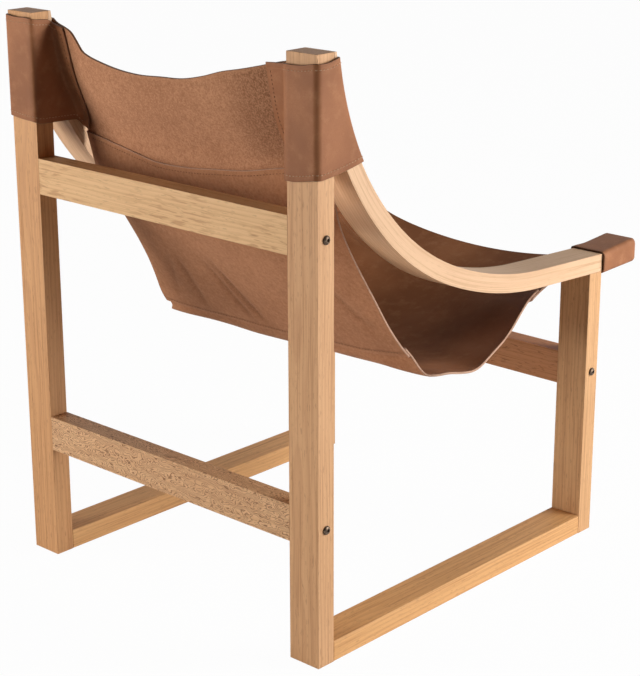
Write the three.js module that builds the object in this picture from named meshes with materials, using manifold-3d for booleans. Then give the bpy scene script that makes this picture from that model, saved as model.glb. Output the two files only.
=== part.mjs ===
// Leather sling lounge chair. Two timber side frames, each a rear post, a front post,
// a floor runner and a bent arm, are joined by three bolted cross rails. A sling of thick
// leather hangs from sleeves round the rear posts and from pockets on the arm tips.
// Millimetres, +Z up. The sitter faces -Y, so the sitter's right hand is at -X.
import * as THREE from 'three';
import { mergeVertices } from 'three/addons/utils/BufferGeometryUtils.js';
import Module from 'manifold-3d';

const wasm = await Module();
wasm.setup();

// Timber frame
const overallHeight = 790;
const frameWidth = 570; // outer face to outer face
const frameDepth = 606; // rear face of the rear posts to front face of the front posts
const postWidth = 50; // across the chair, the same for runners and arms
const postDepth = 29;
const runnerHeight = 29;
const railHeight = 50;
const railThickness = 29;
const upperRailDrop = 198; // post top to the top of the upper back rail
const lowerRailTop = 215; // floor to the top of the lower back rail
const frontRailDrop = 151; // arm top to the top of the front rail

// Bent arm
const armThickness = 26;
const armTopAtFront = 430; // floor to the arm's top over the front post
const armFrontSlope = 3; // degrees that the straight front stretch falls forward
const armSweepRadius = 560; // of the arm's top where it starts to rise
const armSweepAngle = 24; // degrees of rise where the tighter bend takes over
const armEndLean = 7; // degrees from upright where the arm meets the post top
const armEndThickness = 4.4; // what is left of the arm at the top of its scarf
const armTipLength = 80; // how far the arm runs on in front of the front post
const armTipInset = 2.5; // how much thinner the tip is on each side, to take the leather

// Joinery
const glueGap = 0.3;
const overlap = 2; // how far a joined or cutting shape runs past a face
const tenonWidth = 30;
const tenonThickness = 13;
const runnerTenonLength = 20;
const armTenonLength = 15;
const dowelDiameter = 8;
const dowelSpacing = 32;
const dowelDepth = 20; // in the post, and again in the rail
const boltDiameter = 6;
const boltHeadDiameter = 12;
const boltHeadHeight = 3.8;
const boltKeySize = 4;
const boltKeyDepth = 2;
const boltReach = 44; // length of bolt inside the rail
const nutSetback = 34; // rail end to the axis of its barrel nut
const nutDiameter = 10;
const nutLength = 20;
const screwDiameter = 4.5;
const screwHeadDiameter = 9;
const screwHeadHeight = 3;
const screwSink = 1; // how deep the screw head lies below the arm's surface
const screwReach = 20; // length of screw inside the post
const screwDrops = [40, 70]; // post top to the axis of each scarf screw

// Leather
const leatherThickness = 3;
const leatherEase = 0.8; // room between leather and the timber that it wraps
const seamGap = 0.3;
const seamLap = 16;
const foldRadius = 3; // of the middle of the leather at a wrapped corner
const pocketCorner = 5; // outer radius of the arm tip pockets

// Sleeves: drops from the post top to the leather's upper and lower edge
const sleeveFrontTop = 7;
const sleeveFrontBottom = 137;
const sleeveOuterTop = 11;
const sleeveOuterBottom = 148;
const sleeveInnerTop = 15;
const sleeveInnerBottom = 154;
const flapTop = 24;
const flapBottom = 151;
const flapReach = 28; // how far a sleeve's sewn end comes in from the arm's inner face
const flapStandoff = 26; // how far behind the sheet the flap still is at the post's inner face
const flapBend = 8; // how far in from there the flap comes to lie on the sheet
const flapEase = 0.7; // extra room between the flap and the sheet

// Hanging sheet. The side line is its edge, and slack lets the middle hang behind and below it.
const sheetEdgeRoom = 7; // sheet edge to the arm's inner face
const sheetFlare = 40; // extra half width under the arms
const edgeCurl = 0.25; // share of the slack taken up close to the edges
const slackLean = 0.3; // how far the slack of the top edge gathers to the sitter's left
const slackTilt = 5; // how much lower than its middle the sheet hangs at the sitter's left
const slackShift = 8; // how far its lower part hangs towards the sitter's left
const topEdgeSlack = { behind: 8, below: 62 };
const sleeveSlack = { behind: 12, below: 38 };
const sleeveFootSlack = { behind: 15, below: 24 };

// Upper seam: drop from the post top and distance in front of the rear posts, at the sheet's edge
const upperSeamPlace = { drop: 161, ahead: 57, behind: 16, below: 25 };

// Back, between the seams: shares of the way down and forward from the upper seam to the lower
const backUpperPlace = { down: 0.25, forward: 0.13, behind: 15, below: 13 };
const backLowerPlace = { down: 0.64, forward: 0.58, behind: 10, below: 8 };

// Seat: share of the way from the rear posts to the front posts, drop from the arm's front top,
// share of the flare, and slack
const lowerSeamPlace = { forward: 0.365, drop: 86, flare: 0.3, behind: -4, below: 9 };
const foldPlace = { forward: 0.4, drop: 105, flare: 0.85, behind: 0, below: 11 };
const seatLowPlace = { forward: 0.52, drop: 116, flare: 1, behind: 0, below: 14 };
const seatRisePlace = { forward: 0.66, drop: 101, flare: 0.7, behind: 0, below: 28 };
const seatFrontPlace = { forward: 0.87, drop: 55, flare: 0, behind: 0, below: 45 };

// Edge at the arm tip pockets, at their open and closed ends: drop from the arm's front top
const pocketRearPlace = { drop: 28, below: 51 };
const pocketFrontPlace = { drop: 20, below: 41 };
const frontStripDepth = 138; // front edge to the rear edge of the strip that the seat is lapped over
const frontLapRun = 60; // how long the seat takes to rise over the edge of the front strip

const degrees = Math.PI / 180;

// Faces of the frame
const outerX = frameWidth / 2;
const innerX = outerX - postWidth;
const rearY = frameDepth / 2;
const rearInnerY = rearY - postDepth;
const frontY = -frameDepth / 2;
const frontInnerY = frontY + postDepth;
const sides = [
  { name: 'right', sign: -1 },
  { name: 'left', sign: 1 },
];

// Arm curve, in the plane of one side frame: a straight front stretch, a long sweep,
// then a tighter bend that turns up to the top of the rear post.
const startAngle = armFrontSlope * degrees;
const sweepAngle = armSweepAngle * degrees;
const endAngle = (90 - armEndLean) * degrees;
const armEndY = rearInnerY - armEndThickness;
const turn = (from, to) => ({ run: Math.sin(to) - Math.sin(from), rise: Math.cos(from) - Math.cos(to) });
const sweepTurn = turn(startAngle, sweepAngle);
const bendTurn = turn(sweepAngle, endAngle);
const straightAndBend = {
  run: armEndY - frontY - armSweepRadius * sweepTurn.run,
  rise: overallHeight - armTopAtFront - armSweepRadius * sweepTurn.rise,
};
const bendRadius = (straightAndBend.rise * Math.cos(startAngle) - straightAndBend.run * Math.sin(startAngle))
  / (bendTurn.rise * Math.cos(startAngle) - bendTurn.run * Math.sin(startAngle));
const armStraight = (straightAndBend.run - bendRadius * bendTurn.run) / Math.cos(startAngle);
const sweepCentre = {
  y: frontY + armStraight * Math.cos(startAngle) - armSweepRadius * Math.sin(startAngle),
  z: armTopAtFront + armStraight * Math.sin(startAngle) + armSweepRadius * Math.cos(startAngle),
};
const bendCentre = {
  y: sweepCentre.y + (armSweepRadius - bendRadius) * Math.sin(sweepAngle),
  z: sweepCentre.z - (armSweepRadius - bendRadius) * Math.cos(sweepAngle),
};

// The arm's sitter side at a height on the bend
const armFaceAt = (z) => bendCentre.y + Math.sqrt(bendRadius ** 2 - (z - bendCentre.z) ** 2);
// The arm's underside above a place on the straight stretch
const armUndersideAt = (y) => armTopAtFront + (y - frontY) * Math.tan(startAngle)
  - armThickness / Math.cos(startAngle);

// Leather arm tip pockets
const tipTop = armTopAtFront - armTipInset;
const tipBottom = armTopAtFront - armThickness + armTipInset;
const tipFrontY = frontY - armTipLength;
const pocketFrontY = tipFrontY - leatherEase - leatherThickness;
const pocketInnerX = innerX + armTipInset - leatherEase - leatherThickness;

// Finishes
const finish = (color, roughness, metalness = 0) => (
  new THREE.MeshStandardMaterial({ color, roughness, metalness })
);
const timber = finish(0xc99a6b, 0.55);
const dowelWood = finish(0xd9b98c, 0.7);
const bronze = finish(0x4a3d33, 0.4, 0.9);
const steel = finish(0xb9bcc0, 0.35, 1);
const leather = finish(0x7d5038, 0.6);

const chair = new THREE.Group();

function addPiece(name, geometry, material) {
  geometry.computeVertexNormals();
  const mesh = new THREE.Mesh(geometry, material);
  mesh.name = name;
  chair.add(mesh);
}

// Numbers from one value to another in equal steps
const spread = (from, to, steps) => (
  Array.from({ length: steps + 1 }, (_, index) => THREE.MathUtils.lerp(from, to, index / steps))
);

// Solids and cuts
function solidOf(geometry) {
  const bare = geometry.clone();
  bare.deleteAttribute('normal');
  bare.deleteAttribute('uv');
  const merged = mergeVertices(bare, 1e-4);
  return new wasm.Manifold(new wasm.Mesh({
    numProp: 3,
    vertProperties: new Float32Array(merged.attributes.position.array),
    triVerts: new Uint32Array(merged.index.array),
  }));
}

function geometryOf(solid) {
  const mesh = solid.getMesh();
  const geometry = new THREE.BufferGeometry();
  geometry.setAttribute('position', new THREE.BufferAttribute(mesh.vertProperties, 3));
  geometry.setIndex(new THREE.BufferAttribute(mesh.triVerts, 1));
  return geometry;
}

function carve(base, { joined = [], removed = [] }) {
  let solid = solidOf(base);
  for (const extra of joined) {
    solid = solid.add(solidOf(extra));
  }
  for (const hole of removed) {
    solid = solid.subtract(solidOf(hole));
  }
  return geometryOf(solid);
}

function block([xa, xb], [ya, yb], [za, zb]) {
  const box = new THREE.BoxGeometry(Math.abs(xb - xa), Math.abs(yb - ya), Math.abs(zb - za));
  return box.translate((xa + xb) / 2, (ya + yb) / 2, (za + zb) / 2);
}

// A flat outline in the side plane (its x along Y, its y along Z), thickened across the chair
function slab(outline, [xa, xb], curveSegments = 1) {
  const depth = Math.abs(xb - xa);
  const geometry = new THREE.ExtrudeGeometry(outline, { depth, curveSegments, bevelEnabled: false });
  const sideways = new THREE.Matrix4().makeBasis(
    new THREE.Vector3(0, 1, 0),
    new THREE.Vector3(0, 0, 1),
    new THREE.Vector3(1, 0, 0),
  );
  return geometry.applyMatrix4(sideways).translate(Math.min(xa, xb), 0, 0);
}

const roundSides = 12;

function rodAlongX(radius, [xa, xb], y, z, count = roundSides) {
  return new THREE.CylinderGeometry(radius, radius, Math.abs(xb - xa), count)
    .rotateZ(Math.PI / 2)
    .translate((xa + xb) / 2, y, z);
}

function rodAlongZ(radius, x, y, [za, zb]) {
  return new THREE.CylinderGeometry(radius, radius, Math.abs(zb - za), roundSides)
    .rotateX(Math.PI / 2)
    .translate(x, y, (za + zb) / 2);
}

// Cross rails and the middle of each rail's end joint
const rearMidY = rearY - postDepth / 2;
const frontMidY = frontY + postDepth / 2;
const rails = [
  { name: 'upper_back_rail', y: rearMidY, z: overallHeight - upperRailDrop - railHeight / 2 },
  { name: 'lower_back_rail', y: rearMidY, z: lowerRailTop - railHeight / 2 },
  { name: 'front_rail', y: frontMidY, z: armTopAtFront - frontRailDrop - railHeight / 2 },
];
const railEndX = innerX - glueGap;
const dowelHeights = (rail) => [rail.z + dowelSpacing / 2, rail.z - dowelSpacing / 2];

// Bores that a rail's joint makes in the post at one side
function postBores(rail, sign) {
  const boltBore = rodAlongX(
    boltDiameter / 2 + glueGap, [sign * (innerX - overlap), sign * (outerX + overlap)], rail.y, rail.z,
  );
  const dowelBores = dowelHeights(rail).map((z) => rodAlongX(
    dowelDiameter / 2 + glueGap,
    [sign * (innerX - overlap), sign * (innerX + dowelDepth + glueGap)], rail.y, z,
  ));
  return [boltBore, ...dowelBores];
}

function addRail(rail) {
  const bottom = rail.z - railHeight / 2;
  const bores = sides.flatMap(({ sign }) => [
    rodAlongX(
      boltDiameter / 2 + glueGap,
      [sign * (railEndX - boltReach - glueGap), sign * (railEndX + overlap)], rail.y, rail.z,
    ),
    rodAlongZ(
      nutDiameter / 2 + glueGap, sign * (railEndX - nutSetback), rail.y,
      [bottom - overlap, rail.z + nutLength / 2 + glueGap],
    ),
    ...dowelHeights(rail).map((z) => rodAlongX(
      dowelDiameter / 2 + glueGap,
      [sign * (railEndX - dowelDepth - glueGap), sign * (railEndX + overlap)], rail.y, z,
    )),
  ]);
  const bar = block(
    [-railEndX, railEndX],
    [rail.y - railThickness / 2, rail.y + railThickness / 2],
    [bottom, bottom + railHeight],
  );
  addPiece(rail.name, carve(bar, { removed: bores }), timber);
}

// Domed bolt with a key socket, its axis along +Y of the lathe and its seat at 0
function boltShape() {
  const shank = postWidth + glueGap * 2 + boltReach;
  const domeSteps = 4;
  const profile = [
    new THREE.Vector2(0, -shank),
    new THREE.Vector2(boltDiameter / 2, -shank),
    new THREE.Vector2(boltDiameter / 2, 0),
    ...spread(0, Math.PI / 2, domeSteps).map((angle) => (
      new THREE.Vector2(boltHeadDiameter / 2 * Math.cos(angle), boltHeadHeight * Math.sin(angle))
    )),
  ];
  const socketRadius = boltKeySize / Math.sqrt(3);
  const socket = new THREE.CylinderGeometry(socketRadius, socketRadius, boltKeyDepth * 2, 6)
    .translate(0, boltHeadHeight, 0);
  return carve(new THREE.LatheGeometry(profile, roundSides), { removed: [socket] });
}

function addRailJoint(rail, { name, sign }) {
  const place = `${rail.name}_${name}`;
  const bolt = boltShape()
    .rotateZ(-sign * Math.PI / 2)
    .translate(sign * (outerX + glueGap), rail.y, rail.z);
  addPiece(`${place}_bolt`, bolt, bronze);

  const nutX = sign * (railEndX - nutSetback);
  const nut = rodAlongZ(nutDiameter / 2, nutX, rail.y, [rail.z - nutLength / 2, rail.z + nutLength / 2]);
  const thread = rodAlongX(
    boltDiameter / 2 + glueGap, [nutX - nutDiameter, nutX + nutDiameter], rail.y, rail.z,
  );
  addPiece(`${place}_barrel_nut`, carve(nut, { removed: [thread] }), steel);

  dowelHeights(rail).forEach((z, index) => {
    const dowel = rodAlongX(
      dowelDiameter / 2, [sign * (railEndX - dowelDepth), sign * (innerX + dowelDepth)], rail.y, z,
    );
    addPiece(`${place}_dowel_${index + 1}`, dowel, dowelWood);
  });
}

// Scarf screws: they hold the arm's thin upper end to the rear post, under the sleeve
const screwPlaces = screwDrops.map((drop) => {
  const z = overallHeight - drop;
  return { z, headY: armFaceAt(z) + screwSink };
});

// Countersunk screw along Y. The bore for it has some room and a mouth on the sitter's side.
function screwShape(x, { z, headY }, room = 0) {
  const length = rearInnerY + screwReach + room - headY;
  const headRadius = screwHeadDiameter / 2 + room;
  const shankRadius = screwDiameter / 2 + room;
  const mouth = room > 0 ? [new THREE.Vector2(headRadius, -armThickness)] : [];
  const profile = [
    new THREE.Vector2(0, room > 0 ? -armThickness : 0),
    ...mouth,
    new THREE.Vector2(headRadius, 0),
    new THREE.Vector2(shankRadius, screwHeadHeight + room),
    new THREE.Vector2(shankRadius, length),
    new THREE.Vector2(0, length),
  ];
  return new THREE.LatheGeometry(profile, roundSides).translate(x, headY, z);
}

// Side frames
function runnerTenon(x, end, room) {
  return block(
    [x - tenonWidth / 2 - room, x + tenonWidth / 2 + room],
    end > 0
      ? [rearInnerY - overlap, rearInnerY + runnerTenonLength + room]
      : [frontInnerY + overlap, frontInnerY - runnerTenonLength - room],
    [runnerHeight / 2 - tenonThickness / 2 - room, runnerHeight / 2 + tenonThickness / 2 + room],
  );
}

function armTenon(x, room) {
  return block(
    [x - tenonWidth / 2 - room, x + tenonWidth / 2 + room],
    [frontMidY - tenonThickness / 2 - room, frontMidY + tenonThickness / 2 + room],
    [armUndersideAt(frontMidY) - overlap, armUndersideAt(frontMidY) + armTenonLength + room],
  );
}

function armOutline() {
  const scarfY = rearInnerY - glueGap;
  const quarter = Math.PI / 2;
  const underRadius = bendRadius + armThickness;
  const scarfAngle = -Math.acos((scarfY - bendCentre.y) / underRadius);
  const topAngle = Math.atan2(overallHeight - bendCentre.z, armEndY - bendCentre.y);
  const outline = new THREE.Shape();
  outline.moveTo(frontY, armTopAtFront);
  outline.lineTo(frontY, armUndersideAt(frontY));
  outline.absarc(
    sweepCentre.y, sweepCentre.z, armSweepRadius + armThickness,
    startAngle - quarter, sweepAngle - quarter, false,
  );
  outline.absarc(bendCentre.y, bendCentre.z, underRadius, sweepAngle - quarter, scarfAngle, false);
  outline.lineTo(scarfY, overallHeight);
  outline.absarc(bendCentre.y, bendCentre.z, bendRadius, topAngle, sweepAngle - quarter, true);
  outline.absarc(
    sweepCentre.y, sweepCentre.z, armSweepRadius,
    sweepAngle - quarter, startAngle - quarter, true,
  );
  return outline;
}

function addSideFrame({ name, sign }) {
  const across = [sign * innerX, sign * outerX];
  const middle = sign * (innerX + outerX) / 2;
  const arcSteps = 12;

  const rearPost = block(across, [rearInnerY, rearY], [0, overallHeight]);
  addPiece(`rear_post_${name}`, carve(rearPost, {
    removed: [
      ...postBores(rails[0], sign),
      ...postBores(rails[1], sign),
      runnerTenon(middle, 1, glueGap),
      ...screwPlaces.map((screw) => screwShape(middle, screw, glueGap)),
    ],
  }), timber);

  const frontOutline = new THREE.Shape();
  frontOutline.moveTo(frontY, 0);
  frontOutline.lineTo(frontInnerY, 0);
  frontOutline.lineTo(frontInnerY, armUndersideAt(frontInnerY) - glueGap);
  frontOutline.lineTo(frontY, armUndersideAt(frontY) - glueGap);
  addPiece(`front_post_${name}`, carve(slab(frontOutline, across), {
    joined: [armTenon(middle, 0)],
    removed: [...postBores(rails[2], sign), runnerTenon(middle, -1, glueGap)],
  }), timber);

  const runner = block(across, [frontInnerY + glueGap, rearInnerY - glueGap], [0, runnerHeight]);
  addPiece(`runner_${name}`, carve(runner, {
    joined: [runnerTenon(middle, 1, 0), runnerTenon(middle, -1, 0)],
  }), timber);

  const tip = block(
    [sign * (innerX + armTipInset), sign * (outerX - armTipInset)],
    [tipFrontY, frontY + overlap], [tipBottom, tipTop],
  );
  addPiece(`arm_${name}`, carve(slab(armOutline(), across, arcSteps), {
    joined: [tip],
    removed: [
      armTenon(middle, glueGap),
      ...screwPlaces.map((screw) => screwShape(middle, screw, glueGap)),
    ],
  }), timber);

  screwPlaces.forEach((screw, index) => {
    addPiece(`arm_screw_${name}_${index + 1}`, geometryOf(solidOf(screwShape(middle, screw))), steel);
  });
}

// A sheet of leather: each column gives the middle of its thickness at a row
function leatherSheet(columns, rows) {
  const grid = columns.map((column) => rows.map(column));
  const lastColumn = columns.length - 1;
  const lastRow = rows.length - 1;
  const half = leatherThickness / 2;
  const positions = [];
  for (const face of [half, -half]) {
    for (let i = 0; i <= lastColumn; i += 1) {
      for (let j = 0; j <= lastRow; j += 1) {
        const across = grid[Math.min(i + 1, lastColumn)][j].clone().sub(grid[Math.max(i - 1, 0)][j]);
        const along = grid[i][Math.min(j + 1, lastRow)].clone().sub(grid[i][Math.max(j - 1, 0)]);
        const normal = across.cross(along).normalize();
        positions.push(...grid[i][j].clone().addScaledVector(normal, face).toArray());
      }
    }
  }
  const front = (i, j) => i * rows.length + j;
  const back = (i, j) => columns.length * rows.length + front(i, j);
  const triangles = [];
  const quad = (a, b, c, d) => triangles.push(a, b, c, a, c, d);
  for (let i = 0; i < lastColumn; i += 1) {
    for (let j = 0; j < lastRow; j += 1) {
      quad(front(i, j), front(i + 1, j), front(i + 1, j + 1), front(i, j + 1));
      quad(back(i, j), back(i, j + 1), back(i + 1, j + 1), back(i + 1, j));
    }
    quad(front(i, 0), back(i, 0), back(i + 1, 0), front(i + 1, 0));
    quad(front(i, lastRow), front(i + 1, lastRow), back(i + 1, lastRow), back(i, lastRow));
  }
  for (let j = 0; j < lastRow; j += 1) {
    quad(front(0, j), front(0, j + 1), back(0, j + 1), back(0, j));
    quad(front(lastColumn, j), back(lastColumn, j), back(lastColumn, j + 1), front(lastColumn, j + 1));
  }
  const geometry = new THREE.BufferGeometry();
  geometry.setAttribute('position', new THREE.Float32BufferAttribute(positions, 3));
  geometry.setIndex(triangles);
  return geometry;
}

// The sitter's side of the sleeve leather runs down the arm's face, half a thickness off it
const wrapOffset = leatherEase + leatherThickness / 2;
const sleeveFaceAt = (z) => armFaceAt(z) - wrapOffset;
const fromTop = (drop) => overallHeight - drop;

// Stations down the hanging sheet, from the top edge over the back and the seat to the front.
// Each has a place on the side line, and the middle line's slack behind it and below it.
const sheetHalf = innerX - sheetEdgeRoom;
const pocketHalf = pocketInnerX - seamGap - leatherThickness / 2;
const upperSeam = { y: rearInnerY - upperSeamPlace.ahead, z: fromTop(upperSeamPlace.drop) };
const seatY = (forward) => THREE.MathUtils.lerp(rearInnerY, frontY, forward);
const lowerSeam = { y: seatY(lowerSeamPlace.forward), z: armTopAtFront - lowerSeamPlace.drop };
const sleeveStation = (drop, slack) => ({
  half: sheetHalf, y: sleeveFaceAt(fromTop(drop)), z: fromTop(drop), ...slack,
});
const backStation = ({ down, forward, behind, below }) => ({
  half: sheetHalf,
  y: THREE.MathUtils.lerp(upperSeam.y, lowerSeam.y, forward),
  z: THREE.MathUtils.lerp(upperSeam.z, lowerSeam.z, down),
  behind,
  below,
});
const seatStation = ({ forward, drop, flare, behind, below }) => ({
  half: sheetHalf + sheetFlare * flare, y: seatY(forward), z: armTopAtFront - drop, behind, below,
});
const pocketStation = (y, { drop, below }) => ({
  half: pocketHalf, y, z: armTopAtFront - drop, behind: 0, below,
});
const stations = [
  sleeveStation(sleeveFrontTop, topEdgeSlack),
  sleeveStation((sleeveFrontTop + sleeveFrontBottom) / 2, sleeveSlack),
  sleeveStation(sleeveFrontBottom, sleeveFootSlack),
  { half: sheetHalf, ...upperSeam, behind: upperSeamPlace.behind, below: upperSeamPlace.below },
  backStation(backUpperPlace),
  backStation(backLowerPlace),
  seatStation(lowerSeamPlace),
  seatStation(foldPlace),
  seatStation(seatLowPlace),
  seatStation(seatRisePlace),
  seatStation(seatFrontPlace),
  pocketStation(frontY, pocketRearPlace),
  pocketStation(pocketFrontY, pocketFrontPlace),
];
const topStation = 0;
const sleeveFootStation = 2;
const upperSeamStation = 3;
const lowerSeamStation = 6;
const frontStation = stations.length - 1;
const pocketRearStation = frontStation - 1;
const sideLine = new THREE.CatmullRomCurve3(
  stations.map(({ half, y, z }) => new THREE.Vector3(half, y, z)),
);
const middleLine = new THREE.CatmullRomCurve3(
  stations.map(({ y, z, behind, below }) => new THREE.Vector3(0, y + behind, z - below)),
);

// A point of the sheet: across from -1 to 1, station from the top edge to the front edge
function sheetPoint(across, station) {
  const side = sideLine.getPoint(station / frontStation);
  const middle = middleLine.getPoint(station / frontStation);
  const lean = slackLean * Math.max(0, 1 - station / lowerSeamStation);
  const reach = Math.abs(across - lean * (1 - across * across));
  const hang = 1 - (1 - edgeCurl) * reach ** 2 - edgeCurl * reach ** 8;
  const { smoothstep } = THREE.MathUtils;
  const gather = 1 - smoothstep(station, lowerSeamStation, frontStation);
  const tilt = slackTilt * gather * smoothstep(station, sleeveFootStation, upperSeamStation);
  const shift = slackShift * gather * smoothstep(station, sleeveFootStation, lowerSeamStation);
  return new THREE.Vector3(
    side.x * across + shift,
    side.y + (middle.y - side.y) * hang,
    side.z + (middle.z - side.z) * hang - tilt * across,
  );
}

// The sheet moved to its rear by an offset, for a panel sewn on behind it or, below 0, above it
function sheetPointBehind(across, station, offset) {
  const step = 0.01;
  const over = sheetPoint(across + step, station).sub(sheetPoint(across - step, station));
  const upper = Math.max(station - step, topStation);
  const down = sheetPoint(across, station + step).sub(sheetPoint(across, upper));
  const rearward = over.cross(down).normalize();
  return sheetPoint(across, station).addScaledVector(rearward, offset);
}

const stationLength = (from, to) => middleLine.getPoint(from / frontStation)
  .distanceTo(middleLine.getPoint(to / frontStation));
const upperLap = upperSeamStation + seamLap / stationLength(upperSeamStation, upperSeamStation + 1);
const lowerLap = lowerSeamStation - seamLap / stationLength(lowerSeamStation - 1, lowerSeamStation);
const pocketRun = stationLength(pocketRearStation, frontStation);
const pocketRiseRun = stationLength(pocketRearStation - 1, pocketRearStation);
const behindFront = (length) => pocketRearStation - (length - pocketRun) / pocketRiseRun;
const frontSeam = behindFront(frontStripDepth);
const frontLap = behindFront(frontStripDepth - seamLap);
const frontLapStart = behindFront(frontStripDepth + frontLapRun);

const sheetColumns = 16;
const sheetAcross = spread(-1, 1, sheetColumns);

// Both panels of a lapped seam have a row at the seam and one at the end of the lap
function addBackPanel() {
  const offset = leatherThickness + seamGap;
  const columns = sheetAcross.map((across) => (station) => sheetPointBehind(across, station, offset));
  const rows = [upperSeamStation, ...spread(upperLap, lowerLap, 8), lowerSeamStation];
  addPiece('sling_back_panel', leatherSheet(columns, rows), leather);
}

// The front end of the seat lies on the sitter's side of the strip that holds the pockets
function addSeatPanel() {
  const lift = (station) => (leatherThickness + seamGap)
    * THREE.MathUtils.smoothstep(station, frontLapStart, frontSeam);
  const columns = sheetAcross.map((across) => (station) => (
    sheetPointBehind(across, station, -lift(station))
  ));
  const rows = [
    lowerLap,
    ...spread(lowerSeamStation, frontLapStart, 12),
    ...spread(frontLapStart, frontSeam, 4).slice(1),
    frontLap,
  ];
  addPiece('sling_seat_panel', leatherSheet(columns, rows), leather);
}

function addFrontPanel() {
  const columns = sheetAcross.map((across) => (station) => sheetPoint(across, station));
  const rows = [frontSeam, ...spread(frontLap, frontStation, 5)];
  addPiece('sling_front_panel', leatherSheet(columns, rows), leather);
}

// How far back a surface that lies behind the sheet is at a height, at a place across the sheet
function depthBehindSheet(across, offset, z) {
  let above = topStation;
  let below = upperLap;
  const halvings = 20;
  for (let step = 0; step < halvings; step += 1) {
    const middle = (above + below) / 2;
    if (sheetPointBehind(across, middle, offset).z > z) above = middle;
    else below = middle;
  }
  return sheetPointBehind(across, above, offset).y;
}

// The plan of one sleeve, from the sheet's edge round the arm and the post to the sewn flap.
// Each stop has a place at a height and the drops of the leather's upper and lower edge.
function sleeveStops(sign) {
  const wrapX = outerX + wrapOffset;
  const wrapY = rearY + wrapOffset;
  const insideX = innerX - wrapOffset;
  const cornerSteps = 2;
  const corner = (place, top, bottom) => spread(0, Math.PI / 2, cornerSteps).map((angle) => ({
    place: (z) => place(z, [Math.sin(angle), 1 - Math.cos(angle)]), top, bottom,
  }));
  const flapX = innerX - flapReach;
  const sheetAt = (z) => sleeveFaceAt(Math.max(z, fromTop(sleeveFrontBottom)));
  const behindSheet = leatherThickness + seamGap + flapEase;
  const onSheet = (x, offset) => (z) => [x, depthBehindSheet(sign * x / sheetHalf, offset, z)];
  return [
    { place: (z) => [innerX - glueGap, sleeveFaceAt(z)], top: sleeveFrontTop, bottom: sleeveFrontBottom },
    ...corner((z, [run, rise]) => [
      wrapX - foldRadius + foldRadius * run, sleeveFaceAt(z) + foldRadius * rise,
    ], sleeveFrontTop, sleeveFrontBottom),
    ...corner((z, [run, rise]) => [
      wrapX - foldRadius * rise, wrapY - foldRadius + foldRadius * run,
    ], sleeveOuterTop, sleeveOuterBottom),
    ...corner((z, [run, rise]) => [
      insideX + foldRadius - foldRadius * run, wrapY - foldRadius * rise,
    ], sleeveInnerTop, sleeveInnerBottom),
    {
      place: (z) => [insideX, sheetAt(z) + flapStandoff],
      top: (sleeveInnerTop + flapTop) / 2,
      bottom: (sleeveInnerBottom + flapBottom) / 2,
    },
    {
      place: onSheet(insideX - flapBend, behindSheet + flapBend / 2),
      top: flapTop,
      bottom: flapBottom,
    },
    { place: onSheet(flapX, behindSheet), top: flapTop, bottom: flapBottom },
  ];
}

function addTopPanel() {
  const rows = [...spread(topStation, upperSeamStation, 6), upperLap];
  const sleeveColumn = (sign) => (stop) => (station) => {
    const share = (station - topStation) / (upperLap - topStation);
    const z = fromTop(THREE.MathUtils.lerp(stop.top, stop.bottom, share));
    const [x, y] = stop.place(z);
    return new THREE.Vector3(sign * x, y, z);
  };
  const columns = [
    ...sleeveStops(-1).toReversed().map(sleeveColumn(-1)),
    ...sheetAcross.map((across) => (station) => sheetPoint(across, station)),
    ...sleeveStops(1).map(sleeveColumn(1)),
  ];
  addPiece('sling_top_panel', leatherSheet(columns, rows), leather);
}

// Arm tip pocket: a closed-front leather cap, open to the rear where the arm enters
function roundedSection([xa, xb], [za, zb], radius) {
  const section = new THREE.Shape();
  section.moveTo(xa + radius, za);
  section.absarc(xb - radius, za + radius, radius, -Math.PI / 2, 0, false);
  section.absarc(xb - radius, zb - radius, radius, 0, Math.PI / 2, false);
  section.absarc(xa + radius, zb - radius, radius, Math.PI / 2, Math.PI, false);
  section.absarc(xa + radius, za + radius, radius, Math.PI, Math.PI * 1.5, false);
  return section;
}

function addPocket({ name, sign }) {
  const cornerSteps = 3;
  const span = [innerX + armTipInset, outerX - armTipInset].map((x) => sign * x).sort((a, b) => a - b);
  const cap = (grow, radius, [ya, yb]) => new THREE.ExtrudeGeometry(
    roundedSection([span[0] - grow, span[1] + grow], [tipBottom - grow, tipTop + grow], radius),
    { depth: yb - ya, curveSegments: cornerSteps, bevelEnabled: false },
  ).rotateX(Math.PI / 2).translate(0, yb, 0);
  const shell = leatherEase + leatherThickness;
  const outside = cap(shell, pocketCorner, [pocketFrontY, frontY - seamGap]);
  const inside = cap(leatherEase, pocketCorner - leatherThickness, [tipFrontY - leatherEase, frontY]);
  addPiece(`arm_tip_pocket_${name}`, carve(outside, { removed: [inside] }), leather);
}

for (const side of sides) {
  addSideFrame(side);
}
for (const rail of rails) {
  addRail(rail);
  sides.forEach((side) => addRailJoint(rail, side));
}
addTopPanel();
addBackPanel();
addSeatPanel();
addFrontPanel();
sides.forEach(addPocket);

// The origin is on the floor, under the middle of the whole chair
const hindmostY = rearY + leatherEase + leatherThickness;
chair.position.y = -(hindmostY + pocketFrontY) / 2;

export default chair;
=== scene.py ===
# %% [markdown]
# # A leather sling lounge chair
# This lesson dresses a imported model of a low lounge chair. Its frame is pale open-pored timber, and its
# seat is a sling of thick hide that hangs from sleeves on the rear posts and from pockets on the arm
# tips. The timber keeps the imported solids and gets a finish. The hide is modelled anew, because leather
# has to hang, wrap and show both of its sides.

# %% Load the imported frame
import math

import bpy
import numpy as np
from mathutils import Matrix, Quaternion, Vector


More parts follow.
